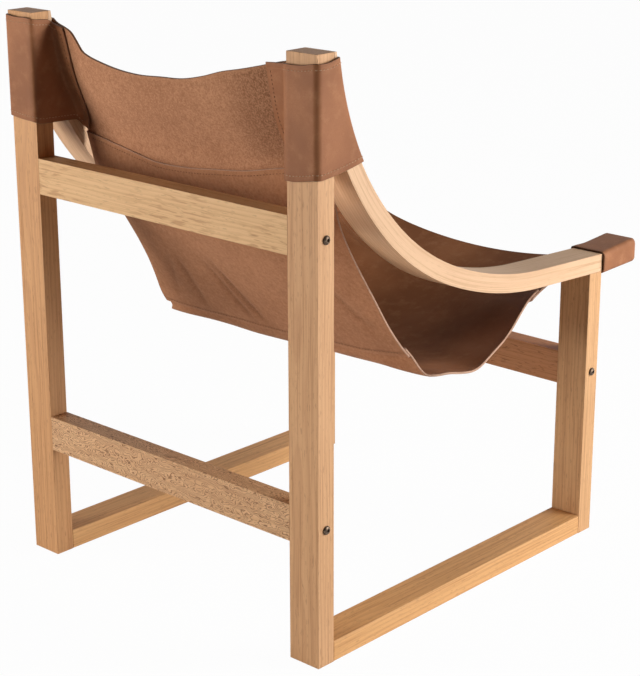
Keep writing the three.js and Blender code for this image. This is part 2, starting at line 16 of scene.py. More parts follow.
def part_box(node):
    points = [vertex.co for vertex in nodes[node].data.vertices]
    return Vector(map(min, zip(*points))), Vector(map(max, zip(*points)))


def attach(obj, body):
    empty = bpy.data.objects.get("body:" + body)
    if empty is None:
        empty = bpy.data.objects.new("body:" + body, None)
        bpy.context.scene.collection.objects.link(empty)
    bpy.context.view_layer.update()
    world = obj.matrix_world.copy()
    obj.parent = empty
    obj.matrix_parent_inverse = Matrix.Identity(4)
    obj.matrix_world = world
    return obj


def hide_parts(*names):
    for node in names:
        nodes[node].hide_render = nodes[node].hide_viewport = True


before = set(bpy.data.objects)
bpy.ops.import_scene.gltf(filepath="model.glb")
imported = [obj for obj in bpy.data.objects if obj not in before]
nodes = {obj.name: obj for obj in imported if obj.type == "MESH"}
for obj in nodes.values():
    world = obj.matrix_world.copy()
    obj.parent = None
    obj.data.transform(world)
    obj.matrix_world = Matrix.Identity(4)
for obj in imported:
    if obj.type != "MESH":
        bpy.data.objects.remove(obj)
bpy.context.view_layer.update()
mm = 0.001

# %% [markdown]
# ## Camera
# The photograph looks down on the chair from behind its right-hand post with a long lens. A camera is
# easiest to match when its place, its two view angles and its lens are written down. The slight roll is
# the photographer's.

# %% Camera
camera_place = Vector((-1.7048, 1.8817, 1.1276))
view_azimuth = math.radians(222.63)
view_elevation = math.radians(17.99)
view_roll = math.radians(0.09)
lens_length = 97.0

lens = bpy.data.cameras.new("photo_lens")
lens.lens = lens_length
camera = bpy.data.objects.new("photo_camera", lens)
bpy.context.scene.collection.objects.link(camera)
towards_chair = -Vector((
    math.sin(view_azimuth) * math.cos(view_elevation),
    -math.cos(view_azimuth) * math.cos(view_elevation),
    math.sin(view_elevation),
))
camera.location = camera_place
camera.rotation_mode = "QUATERNION"
camera.rotation_quaternion = Quaternion(towards_chair, view_roll) @ towards_chair.to_track_quat("-Z", "Y")
bpy.context.scene.camera = camera
print("camera looks along", [round(part, 3) for part in towards_chair])

# %% [markdown]
# ## Writing shader maths as Python
# A procedural finish is a graph of small nodes, and a graph built line by line is hard to read. The
# `Wire` class wraps one node output and gives it arithmetic, so `1 - mask * 0.4` adds its Math nodes by
# itself. Every other node comes from `Graph.node`, which sets the node up first and then joins it.


# %% Shader helpers
class Wire:
    """One output of a shader node, with arithmetic that adds Math nodes."""

    def __init__(self, graph, socket):
        self.graph = graph
        self.socket = socket

    def out(self, name):
        return Wire(self.graph, self.socket.node.outputs[name])

    def __add__(self, other):
        return self.graph.maths("ADD", self, other)

    def __sub__(self, other):
        return self.graph.maths("SUBTRACT", self, other)

    def __mul__(self, other):
        return self.graph.maths("MULTIPLY", self, other)

    def __truediv__(self, other):
        return self.graph.maths("DIVIDE", self, other)

    def __radd__(self, other):
        return self.graph.maths("ADD", other, self)

    def __rsub__(self, other):
        return self.graph.maths("SUBTRACT", other, self)

    def __rmul__(self, other):
        return self.graph.maths("MULTIPLY", other, self)

    def __rtruediv__(self, other):
        return self.graph.maths("DIVIDE", other, self)


class Graph:
    """A node tree that is written as expressions."""

    def __init__(self, tree):
        self.tree = tree

    def node(self, kind, settings=None, sockets=None, output=0):
        made = self.tree.nodes.new(kind)
        for key, value in (settings or {}).items():
            setattr(made, key, value)
        for key, value in (sockets or {}).items():
            self.join(value, made.inputs[key])
        return Wire(self, made.outputs[output])

    def join(self, value, socket):
        if isinstance(value, Wire):
            self.tree.links.new(value.socket, socket)
        else:
            socket.default_value = value

    def maths(self, operation, *values):
        return self.node("ShaderNodeMath", {"operation": operation}, dict(enumerate(values)))

    def place(self):
        return self.node("ShaderNodeTexCoord", output="Object")

    def split(self, vector):
        parts = self.node("ShaderNodeSeparateXYZ", None, {0: vector})
        return parts, parts.out("Y"), parts.out("Z")

    def vector(self, x, y, z):
        return self.node("ShaderNodeCombineXYZ", None, {0: x, 1: y, 2: z})

    def attribute(self, name):
        return self.node("ShaderNodeAttribute", {"attribute_name": name}, output="Fac")

    def noise(self, vector, scale, detail=2.0, roughness=0.5, distortion=0.0):
        return self.node("ShaderNodeTexNoise", None, {
            "Vector": vector, "Scale": scale, "Detail": detail,
            "Roughness": roughness, "Distortion": distortion,
        })

    def cells(self, vector, scale, feature="F1"):
        return self.node("ShaderNodeTexVoronoi", {"feature": feature}, {"Vector": vector, "Scale": scale})

    def band(self, value, low, high):
        """Goes smoothly from 0 at low to 1 at high."""
        return self.node("ShaderNodeMapRange", {"interpolation_type": "SMOOTHSTEP"}, {
            "Value": value, "From Min": low, "From Max": high,
        })

    def blend(self, share, first, second, how="MIX"):
        settings = {"data_type": "RGBA", "blend_type": how}
        return self.node("ShaderNodeMix", settings, {0: share, 6: first, 7: second}, output=2)

    def bump(self, height, strength, distance):
        return self.node("ShaderNodeBump", None, {
            "Height": height, "Strength": strength, "Distance": distance,
        })


class Finish(Graph):
    """A material around one Principled shader."""

    def __init__(self, name):
        self.material = bpy.data.materials.new(name)
        self.material.use_nodes = True
        super().__init__(self.material.node_tree)

    def surface(self, sockets):
        shader = self.tree.nodes["Principled BSDF"]
        for key, value in sockets.items():
            self.join(value, shader.inputs[key])
        return self.material


def tint(red, green, blue):
    return (red, green, blue, 1.0)


print("shader helpers ready")

# %% [markdown]
# ## Studio
# The chair stands on a white sweep that hangs behind it, and the photographer's side of the room is dim.
# Two broad lamps in front of its right-hand side, one low and one high, make the outer faces of the near
# side frame the brightest. A low lamp behind its left-hand side reaches under the sling, and nothing shines
# into the seat. The camera and reflections see the sweep as white, yet part of it stays a plain surface, so
# the runners keep a soft shadow.

# %% Studio
bpy.context.scene.view_settings.view_transform = "Standard"
ambient_level = 0.02
dim_side_level = 0.05
floor_size = 14.0
floor_glow = 0.975
watts_per_level = 10.0


def seen_directly(graph):
    rays = graph.node("ShaderNodeLightPath", output="Is Camera Ray")
    mirrored = graph.maths("MAXIMUM", rays, rays.out("Is Glossy Ray"))
    return graph.maths("MAXIMUM", mirrored, rays.out("Is Transmission Ray"))


world = bpy.data.worlds.new("studio")
world.use_nodes = True
bpy.context.scene.world = world
sweep = Graph(world.node_tree)
direction = sweep.node("ShaderNodeTexCoord", output="Generated")
behind_chair = Vector((towards_chair.x, towards_chair.y, 0)).normalized()
facing_sweep = sweep.node("ShaderNodeVectorMath", {"operation": "DOT_PRODUCT"}, {
    0: direction, 1: behind_chair,
}, output="Value")
seen_level = dim_side_level + sweep.band(facing_sweep, -0.1, 0.4) * (1.0 - dim_side_level)
dim_sky = sweep.node("ShaderNodeBackground", None, {0: tint(1, 0.98, 0.96), 1: ambient_level})
white_sky = sweep.node("ShaderNodeBackground", None, {0: tint(1, 1, 1), 1: seen_level})
sky = sweep.node("ShaderNodeMixShader", None, {0: seen_directly(sweep), 1: dim_sky, 2: white_sky})
sweep.join(sky, world.node_tree.nodes["World Output"].inputs["Surface"])

floor_mesh = bpy.data.meshes.new("studio_floor")
reach = floor_size / 2
floor_corners = [(-reach, -reach, 0), (reach, -reach, 0), (reach, reach, 0), (-reach, reach, 0)]
floor_mesh.from_pydata(floor_corners, [], [(0, 1, 2, 3)])
floor = bpy.data.objects.new("studio_floor", floor_mesh)
floor.location.z = -0.2 * mm
bpy.context.scene.collection.objects.link(floor)

paper = Finish("white_sweep_paper")
matt = paper.node("ShaderNodeBsdfDiffuse", None, {"Color": tint(0.8, 0.8, 0.8)})
glow = paper.node("ShaderNodeEmission", None, {"Color": tint(1, 1, 1), "Strength": 1.0})
glow_share = seen_directly(paper) * floor_glow
sheet_white = paper.node("ShaderNodeMixShader", None, {0: glow_share, 1: matt, 2: glow})
paper.join(sheet_white, paper.tree.nodes["Material Output"].inputs["Surface"])
floor_mesh.materials.append(paper.material)


def softbox(name, place, aim, size, level, colour):
    lamp = bpy.data.lights.new(name, "AREA")
    lamp.size = size
    lamp.color = colour
    towards = Vector(aim) - Vector(place)
    lamp.energy = level * watts_per_level * towards.length_squared
    box = bpy.data.objects.new(name, lamp)
    box.location = place
    box.rotation_mode = "QUATERNION"
    box.rotation_quaternion = towards.to_track_quat("-Z", "Y")
    bpy.context.scene.collection.objects.link(box)


chair_middle = (0, 0, 0.4)
softbox("low_side_lamp", (-2.8, -1.3, 0.6), chair_middle, 1.7, 0.80, (1.0, 0.985, 0.96))
softbox("high_side_lamp", (-2.4, -1.6, 1.8), chair_middle, 1.7, 0.58, (1.0, 0.985, 0.96))
softbox("low_rear_lamp", (1.8, 2.6, 0.7), chair_middle, 1.7, 0.85, (1.0, 0.94, 0.86))
print("studio lit by", [light.name for light in bpy.data.lights])

# %% [markdown]
# ## Timber finish
# The frame is pale, oiled, open-pored hardwood. Growth rings round a heart that lay beside the board give
# its broad lines, and fibres and short dark pores give the fine ones. All of them follow the grain, so the
# finish first asks how far a point lies along the board and across it. No two boards are alike: the lower
# rail in the photograph is cut through a wild knot-side figure, the upper one shows flecks where the cut
# meets the rays, and the arms are the cleanest wood. A `look` says how much of each a board shows.

# %% Timber finish
pale_wood = tint(0.72, 0.475, 0.295)
ring_wood = tint(0.53, 0.300, 0.160)
fibre_wood = tint(0.45, 0.245, 0.125)
pore_wood = tint(0.235, 0.115, 0.052)
ring_width = 5.2 * mm
wave_gap = 4.2 * mm


def board_look(stain_and_shade=(1, 1, 1), fibre=0.80, swirl=0.0, fleck=0.0, pore=0.35):
    return {"stain_and_shade": tint(*stain_and_shade), "fibre": fibre, "swirl": swirl, "fleck": fleck, "pore": pore}


def timber_surface(finish, along, deep, wide, heart, seed, look, end_grain):
    """Finishes a board from wires that tell where a point lies in it, in metres."""
    along = along + seed * 1.37
    deep_shift, wide_shift = heart
    slow = finish.noise(finish.vector(along * 2.6, deep * 9.0, wide * 9.0), 1.0, 2.0)
    waver = finish.noise(finish.vector(along * 11.0, deep * 40.0, wide * 40.0 + seed), 1.0, 1.0)
    off_deep = deep - deep_shift + (slow - 0.5) * 0.030
    off_wide = wide - wide_shift + (waver - 0.5) * 0.006
    from_heart = finish.maths("SQRT", off_deep * off_deep + off_wide * off_wide)
    rings = finish.maths("FRACT", from_heart / ring_width + (waver - 0.5) * 0.5)
    late = finish.band(rings, 0.35, 0.88) * finish.band(rings, 1.0, 0.93)

    turn = (finish.noise(finish.vector(along * 28.0, deep * 60.0, wide * 60.0), 1.0, 2.0) - 0.5) * 0.040
    turned_deep, turned_wide = deep + turn * look["swirl"], wide + turn * look["swirl"]
    fibres = finish.noise(finish.vector(along * 6.0, turned_deep * 430.0, turned_wide * 430.0), 1.0, 3.0, 0.6)
    streaks = finish.noise(finish.vector(along * 3.0, deep * 150.0, wide * 150.0), 1.0, 2.0)
    dashes = finish.noise(finish.vector(along * 80.0, turned_deep * 520.0, turned_wide * 520.0), 1.0, 2.0)
    if look["swirl"]:
        waves = finish.maths("FRACT", (turned_deep + turned_wide) / wave_gap)
        ridges = finish.band(finish.maths("ABSOLUTE", waves - 0.5), 0.22, 0.44)
        pores = ridges * (0.35 + finish.band(dashes, 0.40, 0.56) * 0.65)
    else:
        pores = finish.band(dashes, 0.58, 0.70) * (1.0 - late * 0.5)
    patches = finish.noise(finish.vector(along * 4.0 + 4.0, deep * 9.0, wide * 9.0), 1.0, 1.0)
    rays = finish.noise(finish.vector(along * 32.0, deep * 290.0, wide * 290.0), 1.0, 1.0)
    flecks = finish.band(rays, 0.54, 0.64) * finish.band(patches, 0.38, 0.54)

    colour = finish.blend(late * 0.36, pale_wood, ring_wood)
    colour = finish.blend(finish.band(streaks, 0.50, 0.75) * 0.24, colour, ring_wood)
    colour = finish.blend(finish.band(fibres, 0.48, 0.74) * look["fibre"], colour, fibre_wood)
    colour = finish.blend(flecks * look["fleck"], colour, fibre_wood)
    colour = finish.blend(pores * look["pore"], colour, pore_wood)
    colour = finish.blend(finish.band(patches, 0.40, 0.72) * 0.16, colour, ring_wood)
    colour = finish.blend(end_grain * 0.80, colour, fibre_wood)
    colour = finish.blend(end_grain * finish.band(dashes, 0.40, 0.62) * 0.40, colour, pore_wood)
    # The stain multiplies the colour; it is partly the board's own tone and partly painted shade.
    colour = finish.blend(1.0, colour, look["stain_and_shade"], "MULTIPLY")
    relief = fibres * 0.35 - pores * 0.9 - late * 0.25
    return finish.surface({
        "Base Color": colour,
        "Roughness": 0.50 + fibres * 0.14 - late * 0.05,
        "Specular IOR Level": 0.3,
        "Normal": finish.bump(relief, 0.35, 0.25 * mm),
    })


print("rings every", round(ring_width / mm, 1), "mm")

# %% [markdown]
# ## Straight timbers
# Posts, runners and rails are plain bars with the arrises just broken by hand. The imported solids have
# knife edges, so each gets a small bevel as a modifier, after its triangles are joined back into flats.
# The grain runs the long way of each bar, and every bar has its own heart and its own stretch of tree.

# %% Straight timbers
arris = 1.4 * mm
flat_limit = math.radians(0.4)
arris_limit = math.radians(35)

smooth_group = bpy.data.node_groups.new("shade_smooth", "GeometryNodeTree")
smooth_group.interface.new_socket("Geometry", in_out="INPUT", socket_type="NodeSocketGeometry")
smooth_group.interface.new_socket("Geometry", in_out="OUTPUT", socket_type="NodeSocketGeometry")
smooth_in = smooth_group.nodes.new("NodeGroupInput")
smooth_step = smooth_group.nodes.new("GeometryNodeSetShadeSmooth")
smooth_out = smooth_group.nodes.new("NodeGroupOutput")
smooth_group.links.new(smooth_in.outputs[0], smooth_step.inputs[0])
smooth_group.links.new(smooth_step.outputs[0], smooth_out.inputs[0])


def break_arrises(piece, width):
    weld = piece.modifiers.new("join_corners", "WELD")
    weld.merge_threshold = 0.01 * mm
    flats = piece.modifiers.new("join_flats", "DECIMATE")
    flats.decimate_type = "DISSOLVE"
    flats.angle_limit = flat_limit
    bevel = piece.modifiers.new("break_arrises", "BEVEL")
    bevel.width = width
    bevel.segments = 3
    bevel.limit_method = "ANGLE"
    bevel.angle_limit = arris_limit
    bevel.use_clamp_overlap = True
    smooth = piece.modifiers.new("shade_smooth", "NODES")
    smooth.node_group = smooth_group
    piece.modifiers.new("even_shading", "WEIGHTED_NORMAL")


def paint(piece, *materials):
    while len(piece.material_slots) < len(materials):
        piece.data.materials.append(None)
    for material_slot, material in zip(piece.material_slots, materials):
        material_slot.link = "OBJECT"
        material_slot.material = material


across_grain = {"x": ("y", "z"), "y": ("z", "x"), "z": ("y", "x")}


def paint_bar(name, along, heart, seed, look):
    finish = Finish(name + "_timber")
    wires = dict(zip("xyz", finish.split(finish.place())))
    facing = dict(zip("xyz", finish.split(finish.node("ShaderNodeTexCoord", output="Normal"))))
    end_grain = finish.band(finish.maths("ABSOLUTE", facing[along]), 0.80, 0.97)
    low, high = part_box(name)
    middle = dict(zip("xyz", (low + high) / 2))
    deep, wide = across_grain[along]
    paint(nodes[name], timber_surface(
        finish, wires[along], wires[deep] - middle[deep], wires[wide] - middle[wide], heart, seed,
        look, end_grain,
    ))
    break_arrises(nodes[name], arris)


# Stains are partly each board's own tone and partly painted shade: boards that stand in shade, most of all
# the front rail under the seat, are darkened and warmed.
straight_bars = {
    "rear_post_right": ("z", (0.060, 0.012), 1.0, board_look((0.89, 0.78, 0.65))),
    "rear_post_left": ("z", (-0.075, 0.030), 2.0, board_look((0.85, 0.69, 0.50))),
    "front_post_right": ("z", (0.050, -0.045), 3.0, board_look((0.92, 0.81, 0.64))),
    "front_post_left": ("z", (-0.055, 0.040), 4.0, board_look((0.92, 0.81, 0.64))),
    "runner_right": ("y", (-0.070, 0.055), 5.0, board_look((1.0, 0.85, 0.58))),
    "runner_left": ("y", (0.080, -0.035), 6.0, board_look((1.0, 0.86, 0.60))),
    "upper_back_rail": ("x", (0.055, 0.070), 7.0, board_look((1.0, 0.97, 0.80), 0.60, fleck=0.75)),
    "lower_back_rail": ("x", (-0.032, 0.006), 8.0, board_look((0.98, 0.92, 0.82), 0.90, swirl=1.0, pore=1.0)),
    "front_rail": ("x", (0.065, 0.050), 9.0, board_look((0.72, 0.50, 0.34), 1.0, pore=0.7)),
}
for bar_name, (bar_along, bar_heart, bar_seed, bar_look) in straight_bars.items():
    paint_bar(bar_name, bar_along, bar_heart, bar_seed, bar_look)
print("bars finished:", len(straight_bars))

# %% [markdown]
# ## Bent arms
# Each arm is bent from one straight-grained blank: a straight tip, a long sweep and a tighter bend up
# to the post. On the real arm the grain lines follow those curves, so the finish unrolls them: it turns
# a point into a length along the arm and a depth below the arm's upper face. Both arcs share a radius
# line where they meet, so an angle about the sweep's centre tells which stretch a point belongs to.

# %% Arm curve
rear_low, rear_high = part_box("rear_post_left")
inner_x, outer_x = rear_low.x, rear_high.x
rear_inner_y, rear_y = rear_low.y, rear_high.y
front_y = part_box("front_post_left")[0].y
post_top = rear_high.z
arm_top_at_front = 430 * mm
arm_end_thickness = 4.4 * mm
sweep_radius = 560 * mm
start_angle = math.radians(3)
sweep_angle = math.radians(24)
end_angle = math.radians(83)


def arc_travel(start, end):
    return math.sin(end) - math.sin(start), math.cos(start) - math.cos(end)


sweep_run, sweep_rise = arc_travel(start_angle, sweep_angle)
bend_run, bend_rise = arc_travel(sweep_angle, end_angle)
left_run = rear_inner_y - arm_end_thickness - front_y - sweep_radius * sweep_run
left_rise = post_top - arm_top_at_front - sweep_radius * sweep_rise
start_cos, start_sin = math.cos(start_angle), math.sin(start_angle)
bend_radius = (left_rise * start_cos - left_run * start_sin) / (bend_rise * start_cos - bend_run * start_sin)
straight_length = (left_run - bend_radius * bend_run) / start_cos
sweep_y = front_y + straight_length * start_cos - sweep_radius * start_sin
sweep_z = arm_top_at_front + straight_length * start_sin + sweep_radius * start_cos
bend_y = sweep_y + (sweep_radius - bend_radius) * math.sin(sweep_angle)
bend_z = sweep_z - (sweep_radius - bend_radius) * math.cos(sweep_angle)


def arm_face_y(z):
    """The arm's sitter side at a height on the bend."""
    return bend_y + np.sqrt(bend_radius ** 2 - (z - bend_z) ** 2)


print("straight", round(straight_length, 4), "bend radius", round(bend_radius, 4))


# %% Arm finish
def arm_grain(finish):
    x, y, z = finish.split(finish.place())
    angle = finish.maths("ARCTAN2", y - sweep_y, sweep_z - z)
    on_bend = finish.maths("GREATER_THAN", angle, sweep_angle)
    on_straight = finish.maths("LESS_THAN", angle, start_angle)
    on_sweep = 1.0 - on_bend - on_straight

    def polar(centre_y, centre_z, radius):
        run, drop = y - centre_y, centre_z - z
        distance = finish.maths("SQRT", run * run + drop * drop)
        return finish.maths("ARCTAN2", run, drop) * radius, distance - radius

    sweep_along, sweep_deep = polar(sweep_y, sweep_z, sweep_radius)
    bend_along, bend_deep = polar(bend_y, bend_z, bend_radius)
    line_run, line_drop = y - front_y, arm_top_at_front - z
    line_along = line_run * start_cos - line_drop * start_sin
    line_deep = line_drop * start_cos + line_run * start_sin
    sweep_from = straight_length - sweep_radius * start_angle
    bend_from = sweep_from + (sweep_radius - bend_radius) * sweep_angle
    along = (
        on_straight * line_along
        + on_sweep * (sweep_along + sweep_from)
        + on_bend * (bend_along + bend_from)
    )
    deep = on_straight * line_deep + on_sweep * sweep_deep + on_bend * bend_deep
    return along, deep, x


arm_look = board_look(fibre=0.55, pore=0.12)
for arm_name, arm_heart, arm_seed in (("arm_right", (0.085, 0.31), 10.0), ("arm_left", (-0.07, 0.30), 11.0)):
    arm_finish = Finish(arm_name + "_timber")
    arm_place = arm_grain(arm_finish)
    paint(nodes[arm_name], timber_surface(arm_finish, *arm_place, arm_heart, arm_seed, arm_look, 0.0))
    break_arrises(nodes[arm_name], arris)
print("arms finished")

# %% [markdown]
# ## Dowels, nuts and screws
# Beech dowels, barrel nuts and scarf screws hide inside the joints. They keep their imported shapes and
# get plain honest finishes: a pale short-grained wood, and zinc plate with the cloudy spangle of a
# barrel-plated part.

# %% Hidden hardware
def dowel_finish():
    finish = Finish("beech_dowel")
    x, y, z = finish.split(finish.place())
    flecks = finish.noise(finish.vector(x * 60.0, y * 900.0, z * 900.0), 1.0, 3.0)
    colour = finish.blend(finish.band(flecks, 0.42, 0.66), tint(0.62, 0.43, 0.26), tint(0.46, 0.29, 0.16))
    return finish.surface({
        "Base Color": colour,
        "Roughness": 0.62 + flecks * 0.1,
        "Normal": finish.bump(flecks, 0.3, 0.2 * mm),
    })


def zinc_finish():
    finish = Finish("zinc_plate")
    place = finish.place()
    spangle = finish.noise(place, 420.0, 3.0)
    scuffs = finish.noise(place, 1900.0, 2.0)
    colour = finish.blend(spangle, tint(0.60, 0.62, 0.65), tint(0.48, 0.49, 0.50))
    return finish.surface({
        "Base Color": colour,
        "Metallic": 1.0,
        "Roughness": 0.30 + spangle * 0.18 + scuffs * 0.06,
        "Normal": finish.bump(scuffs, 0.2, 0.05 * mm),
    })


beech = dowel_finish()
zinc = zinc_finish()
for node_name, node in nodes.items():
    if "_dowel_" in node_name:
        paint(node, beech)
    elif node_name.endswith("_barrel_nut") or node_name.startswith("arm_screw_"):
        paint(node, zinc)
        break_arrises(node, 0.3 * mm)
print("hidden pieces finished:", sum("_dowel_" in name for name in nodes), "dowels")

# %% [markdown]
# ## Domed bolts
# Each rail end is pulled tight by a bolt whose dark bronzed dome shows on the post, with a hexagon
# socket for the key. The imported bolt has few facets, so a finer one replaces it. Its head is one
# profile turned round the axis, and the inner rings go over from a circle to a hexagon.

# %% Bolt shape
bolt_head_radius = 6.0 * mm
bolt_head_height = 3.8 * mm
bolt_head_rim = 0.35 * mm
bolt_shank_radius = 3.0 * mm
bolt_seat_gap = 0.3 * mm
key_radius = 4.0 * mm / math.sqrt(3)
key_depth = 2.0 * mm
bolt_sides = 48


def bolt_rings(shank):
    """Rings from the shank's end over the dome to the bottom of the key socket: reach, height, hexagonal."""
    lip = key_radius * 1.16
    rings = [(0.0, -shank, False), (bolt_shank_radius, -shank, False), (bolt_shank_radius, 0.0, False)]
    rings.append((bolt_head_radius * 0.97, 0.0, False))
    dome_steps = 12
    end = math.acos(lip / bolt_head_radius)
    dome_height = bolt_head_height - bolt_head_rim
    for step in range(dome_steps + 1):
        angle = end * step / dome_steps
        height = bolt_head_rim + dome_height * math.sin(angle)
        rings.append((bolt_head_radius * math.cos(angle), height, False))
    top = rings[-1][1]
    rings.append((key_radius, top - 0.15 * mm, True))
    rings.append((key_radius * 0.97, top - key_depth, True))
    rings.append((0.0, top - key_depth - 0.6 * mm, True))
    return rings


def hexagon_share(angle):
    sector = math.pi / 3
    return math.cos(sector / 2) / math.cos(angle % sector - sector / 2)


def turned_mesh(name, rings):
    points = []
    for ring_reach, height, hexagonal in rings:
        for side in range(bolt_sides):
            angle = 2 * math.pi * side / bolt_sides
            out = ring_reach * (hexagon_share(angle) if hexagonal else 1.0)
            points.append((height, out * math.cos(angle), out * math.sin(angle)))
    faces = []
    for ring in range(len(rings) - 1):
        for side in range(bolt_sides):
            beside = (side + 1) % bolt_sides
            first, second = ring * bolt_sides, (ring + 1) * bolt_sides
            faces.append((first + side, first + beside, second + beside, second + side))
    mesh = bpy.data.meshes.new(name)
    mesh.from_pydata(points, [], faces)
    return mesh


def add_piece(name, mesh, slot_name, *replaced):
    piece = bpy.data.objects.new(name, mesh)
    bpy.context.scene.collection.objects.link(piece)
    mesh.validate()
    mesh.shade_smooth()
    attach(piece, "root")
    if replaced:
        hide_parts(*replaced)
    return piece


def bronze_finish():
    finish = Finish("dark_bronzed_steel")
    place = finish.place()
    cloud = finish.noise(place, 260.0, 3.0)
    rubs = finish.noise(place, 2400.0, 2.0)
    worn = finish.band(cloud + rubs * 0.25, 0.62, 0.82)
    colour = finish.blend(worn, tint(0.105, 0.072, 0.050), tint(0.22, 0.155, 0.105))
    return finish.surface({
        "Base Color": colour,
        "Metallic": 0.85,
        "Roughness": 0.36 + cloud * 0.12 - worn * 0.08,
        "Normal": finish.bump(rubs, 0.15, 0.05 * mm),
    })


bronze = bronze_finish()
bolt_names = [name for name in nodes if name.endswith("_bolt")]
for bolt_name in bolt_names:
    low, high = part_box(bolt_name)
    side = 1 if high.x > 0 else -1
    shank_length = (high.x - low.x) - bolt_head_height
    bolt_mesh = turned_mesh(bolt_name + "_head", bolt_rings(shank_length))
    bolt_points = np.array([vertex.co for vertex in bolt_mesh.vertices])
    bolt_points = bolt_points * (side, side, 1) + (side * (outer_x + bolt_seat_gap), 0, 0)
    bolt_points += (0, (low.y + high.y) / 2, (low.z + high.z) / 2)
    bolt_mesh.vertices.foreach_set("co", bolt_points.ravel())
    bolt = add_piece(bolt_name + "_head", bolt_mesh, "bronze_bolt", bolt_name)
    paint(bolt, bronze)
    weld = bolt.modifiers.new("close_axis", "WELD")
    weld.merge_threshold = 0.001 * mm
    bolt.modifiers.new("even_shading", "WEIGHTED_NORMAL")
print("bolts:", len(bolt_names))

# %% [markdown]
# ## Leather finishes
# Thick hide has three looks. The grain side, which faces the sitter and the outside of the sleeves, has
# fine pebbling and cloudy colour. It is satin where it was burnished round the posts and nearly matt on
# the seat. The flesh side, seen from the rear, is napped like suede on the top panel and smoother below.
# A cut edge is pale and fibrous when it is left raw, and dark when it was dressed with dye and wax. One
# finish for each lets a panel show all three where its shape turns, and the meshes carry the distance to
# their cut edge for the shading.

# %% Grain side
grain_deep = tint(0.240, 0.094, 0.041)
grain_mid = tint(0.375, 0.157, 0.073)
grain_light = tint(0.50, 0.240, 0.125)


def grain_finish(name, gloss):
    finish = Finish(name)
    place = finish.place()
    cloud = finish.noise(place, 8.0, 3.0)
    mottle = finish.noise(place, 60.0, 4.0, 0.62)
    bent = finish.blend(0.006, place, finish.noise(place, 240.0, 2.0).out("Color"), "LINEAR_LIGHT")
    pebble = finish.cells(bent, 760.0)
    wrinkles = finish.band(finish.cells(bent, 240.0, "DISTANCE_TO_EDGE"), 0.10, 0.0)
    near_edge = finish.band(finish.attribute("edge"), 5.0 * mm, 0.5 * mm)
    groove = finish.band(finish.maths("ABSOLUTE", finish.attribute("groove")), 1.5 * mm, 0.5 * mm)

    colour = finish.blend(finish.band(cloud, 0.32, 0.70), grain_deep, grain_mid)
    colour = finish.blend(finish.band(mottle, 0.46, 0.76) * 0.34, colour, grain_light)
    colour = finish.blend(wrinkles * 0.30, colour, grain_deep)
    colour = finish.blend(near_edge * 0.30, colour, grain_deep)
    colour = finish.blend(groove * 0.10, colour, grain_light)
    relief = pebble * 0.5 - wrinkles * 0.5 - groove * 1.2 + mottle * 0.3
    return finish.surface({
        "Base Color": colour,
        "Roughness": 0.46 + mottle * 0.14,
        "Specular IOR Level": gloss,
        "Normal": finish.bump(relief, 0.30, 0.35 * mm),
    })


hide_grain = grain_finish("hide_grain_side", 0.14)
seat_grain = grain_finish("hide_grain_side_seat", 0.02)
print("grain sides:", hide_grain.name, seat_grain.name)


# %% Flesh side
def flesh_finish(name, deep, dark, light, nap_share):
    finish = Finish(name)
    place = finish.place()
    x, y, z = finish.split(place)
    cloud = finish.noise(place, 7.0, 3.0, 0.55)
    brushed = finish.noise(finish.vector(x * 150.0, y * 110.0, z * 100.0), 1.0, 3.0, 0.65)
    nap = finish.noise(place, 420.0, 2.0, 0.7)
    fuzz = finish.noise(place, 230.0, 2.0, 0.65)
    near_edge = finish.band(finish.attribute("edge"), 7.0 * mm, 1.0 * mm)
    painted_shade = finish.attribute("painted_shade")

    tone = finish.band(cloud * 0.40 + brushed * 0.30 + fuzz * 0.30, 0.32, 0.68)
    colour = finish.blend(tone, dark, light)
    colour = finish.blend(finish.band(nap, 0.50, 0.66) * nap_share, colour, light)
    colour = finish.blend(finish.band(nap, 0.50, 0.36) * nap_share, colour, dark)
    # Painted shade: the attribute read above darkens the colour towards the deep tone in the creases, along a
    # line near the back's foot and on the near upper part of the top panel.
    colour = finish.blend(painted_shade * (0.35 + finish.band(nap, 0.58, 0.42) * 0.40), colour, deep)
    colour = finish.blend(near_edge * 0.22, colour, light)
    relief = nap * 0.6 + fuzz * 0.6 + brushed * 0.3
    return finish.surface({
        "Base Color": colour,
        "Roughness": 0.93 - nap * 0.08,
        "Specular IOR Level": 0.12,
        "Sheen Weight": 0.15,
        "Sheen Roughness": 0.45,
        "Sheen Tint": tint(1.0, 0.80, 0.66),
        "Normal": finish.bump(relief, 0.40, 0.6 * mm),
    })


# The first tone of each set is the deep colour that the painted shade darkens towards.
suede_tones = tint(0.15, 0.062, 0.030), tint(0.33, 0.150, 0.080), tint(0.53, 0.272, 0.155)
smooth_tones = tint(0.17, 0.072, 0.036), tint(0.29, 0.128, 0.064), tint(0.46, 0.225, 0.122)
suede = flesh_finish("hide_flesh_side_napped", *suede_tones, 0.55)
smooth_flesh = flesh_finish("hide_flesh_side_smooth", *smooth_tones, 0.20)
print("flesh sides:", suede.name, smooth_flesh.name)


# %% Cut edges and thread
def edge_finish(name, dark, light, roughness):
    finish = Finish(name)
    place = finish.place()
    fibres = finish.noise(place, 1500.0, 3.0, 0.7)
    drift = finish.noise(place, 90.0, 2.0)
    colour = finish.blend(finish.band(fibres, 0.36, 0.66), dark, light)
    colour = finish.blend(finish.band(drift, 0.50, 0.78) * 0.5, colour, dark)
    return finish.surface({
        "Base Color": colour,
        "Roughness": roughness + fibres * 0.12,
        "Specular IOR Level": 0.2,
        "Normal": finish.bump(fibres, 0.5, 0.3 * mm),
    })


def thread_finish(name, dark, light):
    finish = Finish(name)
    place = finish.place()
    strands = finish.noise(place, 2600.0, 2.0)
    return finish.surface({
        "Base Color": finish.blend(finish.band(strands, 0.35, 0.65), dark, light),
        "Roughness": 0.55 + strands * 0.2,
        "Specular IOR Level": 0.2,
        "Normal": finish.bump(strands, 0.5, 0.15 * mm),
    })


